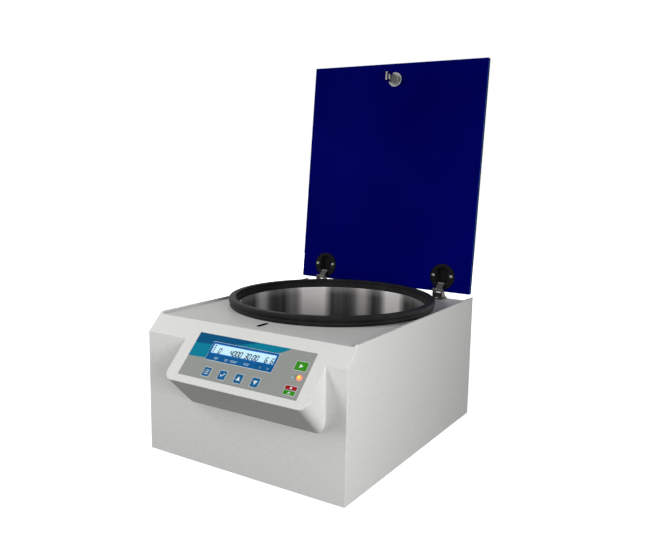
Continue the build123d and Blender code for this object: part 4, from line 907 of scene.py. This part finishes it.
def case_screw_seats():
    """Seats in the feet, in the top panel's rear edge and low on the rear panel."""
    panel_outside = PANEL_FACE + SHEET
    for side in SIDES:
        for y in (FRONT + FOOT_INSET, panel_outside - FOOT_INSET):
            yield Vector((side * FOOT_X, y, FOOT_SEAT)) * MM, (0, 0, -1)
    for y, height in ((panel_outside, UPPER_SCREW_HEIGHT), (PANEL_FACE, LOWER_SCREW_HEIGHT)):
        for side in SIDES:
            yield Vector((side * REAR_SCREW_X, y, height)) * MM, (0, 1, 0)


def all_screws():
    """The lid's hinge screws, the brackets' screws and the screws of the feet and the rear panel."""
    domed_screws("cup_screw_heads", "cup_screws", "lid", cup_screw_seats(), CUP_SCREW)
    domed_screws("bracket_screw_heads", "bracket_screws", "casing", bracket_screw_seats(), BRACKET_SCREW)
    domed_screws("case_screw_heads", "case_screws", "casing", case_screw_seats(), CASE_SCREW)


# The latch's spring

MERGE_DISTANCE = 0.001


def latch_coil():
    """The latch's spring as a piece of its own on the casing, with its doubled points merged."""
    shape = bmesh.new()
    shape.from_mesh(nodes["latch_spring"].data)
    bmesh.ops.remove_doubles(shape, verts=shape.verts[:], dist=MERGE_DISTANCE * MM)
    coil = finished(shape, "latch_coil", "casing", finishes["plated_steel"])
    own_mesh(coil)
    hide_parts("latch_spring")


# Marks on the rocker

# The rocker's two halves rise from its waist to its ends, and at rest it leans on its pivot
ROCKER_LEAN = radians(8)
ROCKER_WAIST = 3.0
ROCKER_RISE = 1.5
ROCKER_HALF_LENGTH = 9.0
MARK_PLACE = 4.9
MARK_SIZE = 4.0
MARK_BAR = 0.8
MARK_RING = 0.7
MARK_GAP = 0.01
RING_SEGMENTS = 24


def rocker_marks():
    """A bar and a ring on the rocker's two halves."""
    shape = bmesh.new()
    face_box(shape, (0, MARK_PLACE), (MARK_BAR, MARK_SIZE))
    face_shape(shape, (0, -MARK_PLACE), RING_SEGMENTS, (MARK_SIZE, MARK_SIZE))
    disc = [face for face in shape.faces if len(face.verts) == RING_SEGMENTS]
    inset(shape, disc, MARK_RING)
    inner = [face for face in shape.faces if len(face.verts) == RING_SEGMENTS]
    bmesh.ops.delete(shape, geom=inner, context="FACES_ONLY")
    for vertex in shape.verts:
        rise = abs(vertex.co.y) * ROCKER_RISE / ROCKER_HALF_LENGTH
        vertex.co.z = ROCKER_WAIST + rise + MARK_GAP
    pivot = Vector(joints["rocker_tilt"]["pos_m"]) / MM
    plane = plane_matrix(pivot, -RIGHT, Vector((0, sin(ROCKER_LEAN), cos(ROCKER_LEAN))))
    print_on(shape, plane, "rocker_marks", "rocker", WHITE_PRINT)


display_digits()
display_marks()
overlay_lines()
key_symbols()
shade_slot_liner()
all_screws()
latch_coil()
rocker_marks()

# Floor, light and camera

# The floor's radius in metres, and its glow, which grows to full between two distances in metres
FLOOR_RADIUS = 9.0
FLOOR_SEGMENTS = 96
GLOW_UNDER = 0.76
GLOW_NEAR = 0.35
GLOW_FAR = 0.9

# Strength of the world's light, and the point in metres that the lamps face
WORLD_LIGHT = 0.10
AIM = Vector((0, 0, 0.15))

# The photograph's width and focal length in pixels, and the camera's angles in degrees
PHOTO_WIDTH = 658
PHOTO_FOCAL = 703.66
SENSOR_WIDTH = 36.0
CAMERA_AZIMUTH = 32.067
CAMERA_ELEVATION = 8.957
CAMERA_TILT = 0.958
CAMERA_PLACE = Vector((569.8, FRONT - 691.8, 422.7))

# The distances in metres that the camera sees between
SEEN_FROM = 0.05
SEEN_TO = 60.0


def background_rays(tree):
    """1 for the rays that show the background: from the camera, in gloss and through glass."""
    path = tree.nodes.new("ShaderNodeLightPath")
    shown = path.outputs["Is Camera Ray"]
    for kind in ("Is Glossy Ray", "Is Transmission Ray"):
        shown = step(tree, "MAXIMUM", shown, path.outputs[kind])
    return shown


def floor_finish():
    """Pale floor that shows as white and keeps the object's shadow."""
    material, tree, shader, place = new_material("studio_floor")
    shown = background_rays(tree)
    set_shader(
        shader,
        Base_Color=blend_colours(tree, shown, (0.03, 0.03, 0.03), (0.90, 0.90, 0.90)),
        Roughness=0.9,
        Specular_IOR_Level=0.1,
    )
    away = vector_step(tree, "LENGTH", place).outputs["Value"]
    glow = spread(tree, away, GLOW_UNDER, 1.0, GLOW_NEAR, GLOW_FAR)
    white = tree.nodes.new("ShaderNodeEmission")
    tree.links.new(step(tree, "MULTIPLY", shown, glow), white.inputs["Strength"])
    both = tree.nodes.new("ShaderNodeAddShader")
    tree.links.new(shader.outputs["BSDF"], both.inputs[0])
    tree.links.new(white.outputs["Emission"], both.inputs[1])
    tree.links.new(both.outputs["Shader"], tree.nodes["Material Output"].inputs["Surface"])
    return material


def studio_floor():
    """Round floor under the machine, not part of it."""
    mesh = bpy.data.meshes.new("studio_floor")
    shape = bmesh.new()
    bmesh.ops.create_circle(shape, cap_ends=True, segments=FLOOR_SEGMENTS, radius=FLOOR_RADIUS)
    shape.to_mesh(mesh)
    shape.free()
    mesh.materials.append(floor_finish())
    floor = bpy.data.objects.new("studio_floor", mesh)
    bpy.context.scene.collection.objects.link(floor)


def studio_world():
    """White for the camera and for reflections, a plain grey light for the rest."""
    world = bpy.data.worlds.new("studio_world")
    bpy.context.scene.world = world
    world.use_nodes = True
    tree = world.node_tree
    background = tree.nodes["Background"]
    background.inputs["Color"].default_value = (1, 1, 1, 1)
    tree.links.new(spread(tree, background_rays(tree), WORLD_LIGHT, 1.0), background.inputs["Strength"])


def softbox(name, towards, distance, size, power):
    """Area light at a distance from the machine in metres, facing its middle, and not seen in gloss."""
    lamp = bpy.data.lights.new(name, "AREA")
    lamp.shape = "RECTANGLE"
    lamp.size, lamp.size_y = size
    lamp.energy = power
    place = bpy.data.objects.new(name, lamp)
    bpy.context.scene.collection.objects.link(place)
    direction = Vector(towards).normalized()
    place.location = AIM + direction * distance
    place.rotation_mode = "QUATERNION"
    place.rotation_quaternion = direction.to_track_quat("Z", "Y")
    place.visible_glossy = False


def photo_camera():
    """The photograph's view: its place, direction, tilt and lens."""
    azimuth, elevation, tilt = radians(CAMERA_AZIMUTH), radians(CAMERA_ELEVATION), radians(CAMERA_TILT)
    back = Vector((sin(azimuth) * cos(elevation), -cos(azimuth) * cos(elevation), sin(elevation)))
    camera = bpy.data.objects.new("photo_camera", bpy.data.cameras.new("photo_camera"))
    bpy.context.scene.collection.objects.link(camera)
    camera.data.sensor_width = SENSOR_WIDTH
    camera.data.lens = PHOTO_FOCAL / PHOTO_WIDTH * SENSOR_WIDTH
    camera.data.clip_start = SEEN_FROM
    camera.data.clip_end = SEEN_TO
    camera.location = CAMERA_PLACE * MM
    camera.rotation_mode = "QUATERNION"
    camera.rotation_quaternion = back.to_track_quat("Z", "Y") @ Quaternion((0, 0, 1), tilt)
    bpy.context.scene.camera = camera


bpy.context.scene.view_settings.view_transform = "Standard"
studio_floor()
studio_world()
softbox("key_light", towards=(-0.55, -0.70, 0.46), distance=1.2, size=(0.6, 0.6), power=9.1)
softbox("side_light", towards=(0.95, -0.60, 0.22), distance=1.1, size=(0.5, 0.5), power=8.3)
softbox("back_light", towards=(-0.60, 0.75, 0.14), distance=2.2, size=(1.2, 1.0), power=20.0)
photo_camera()
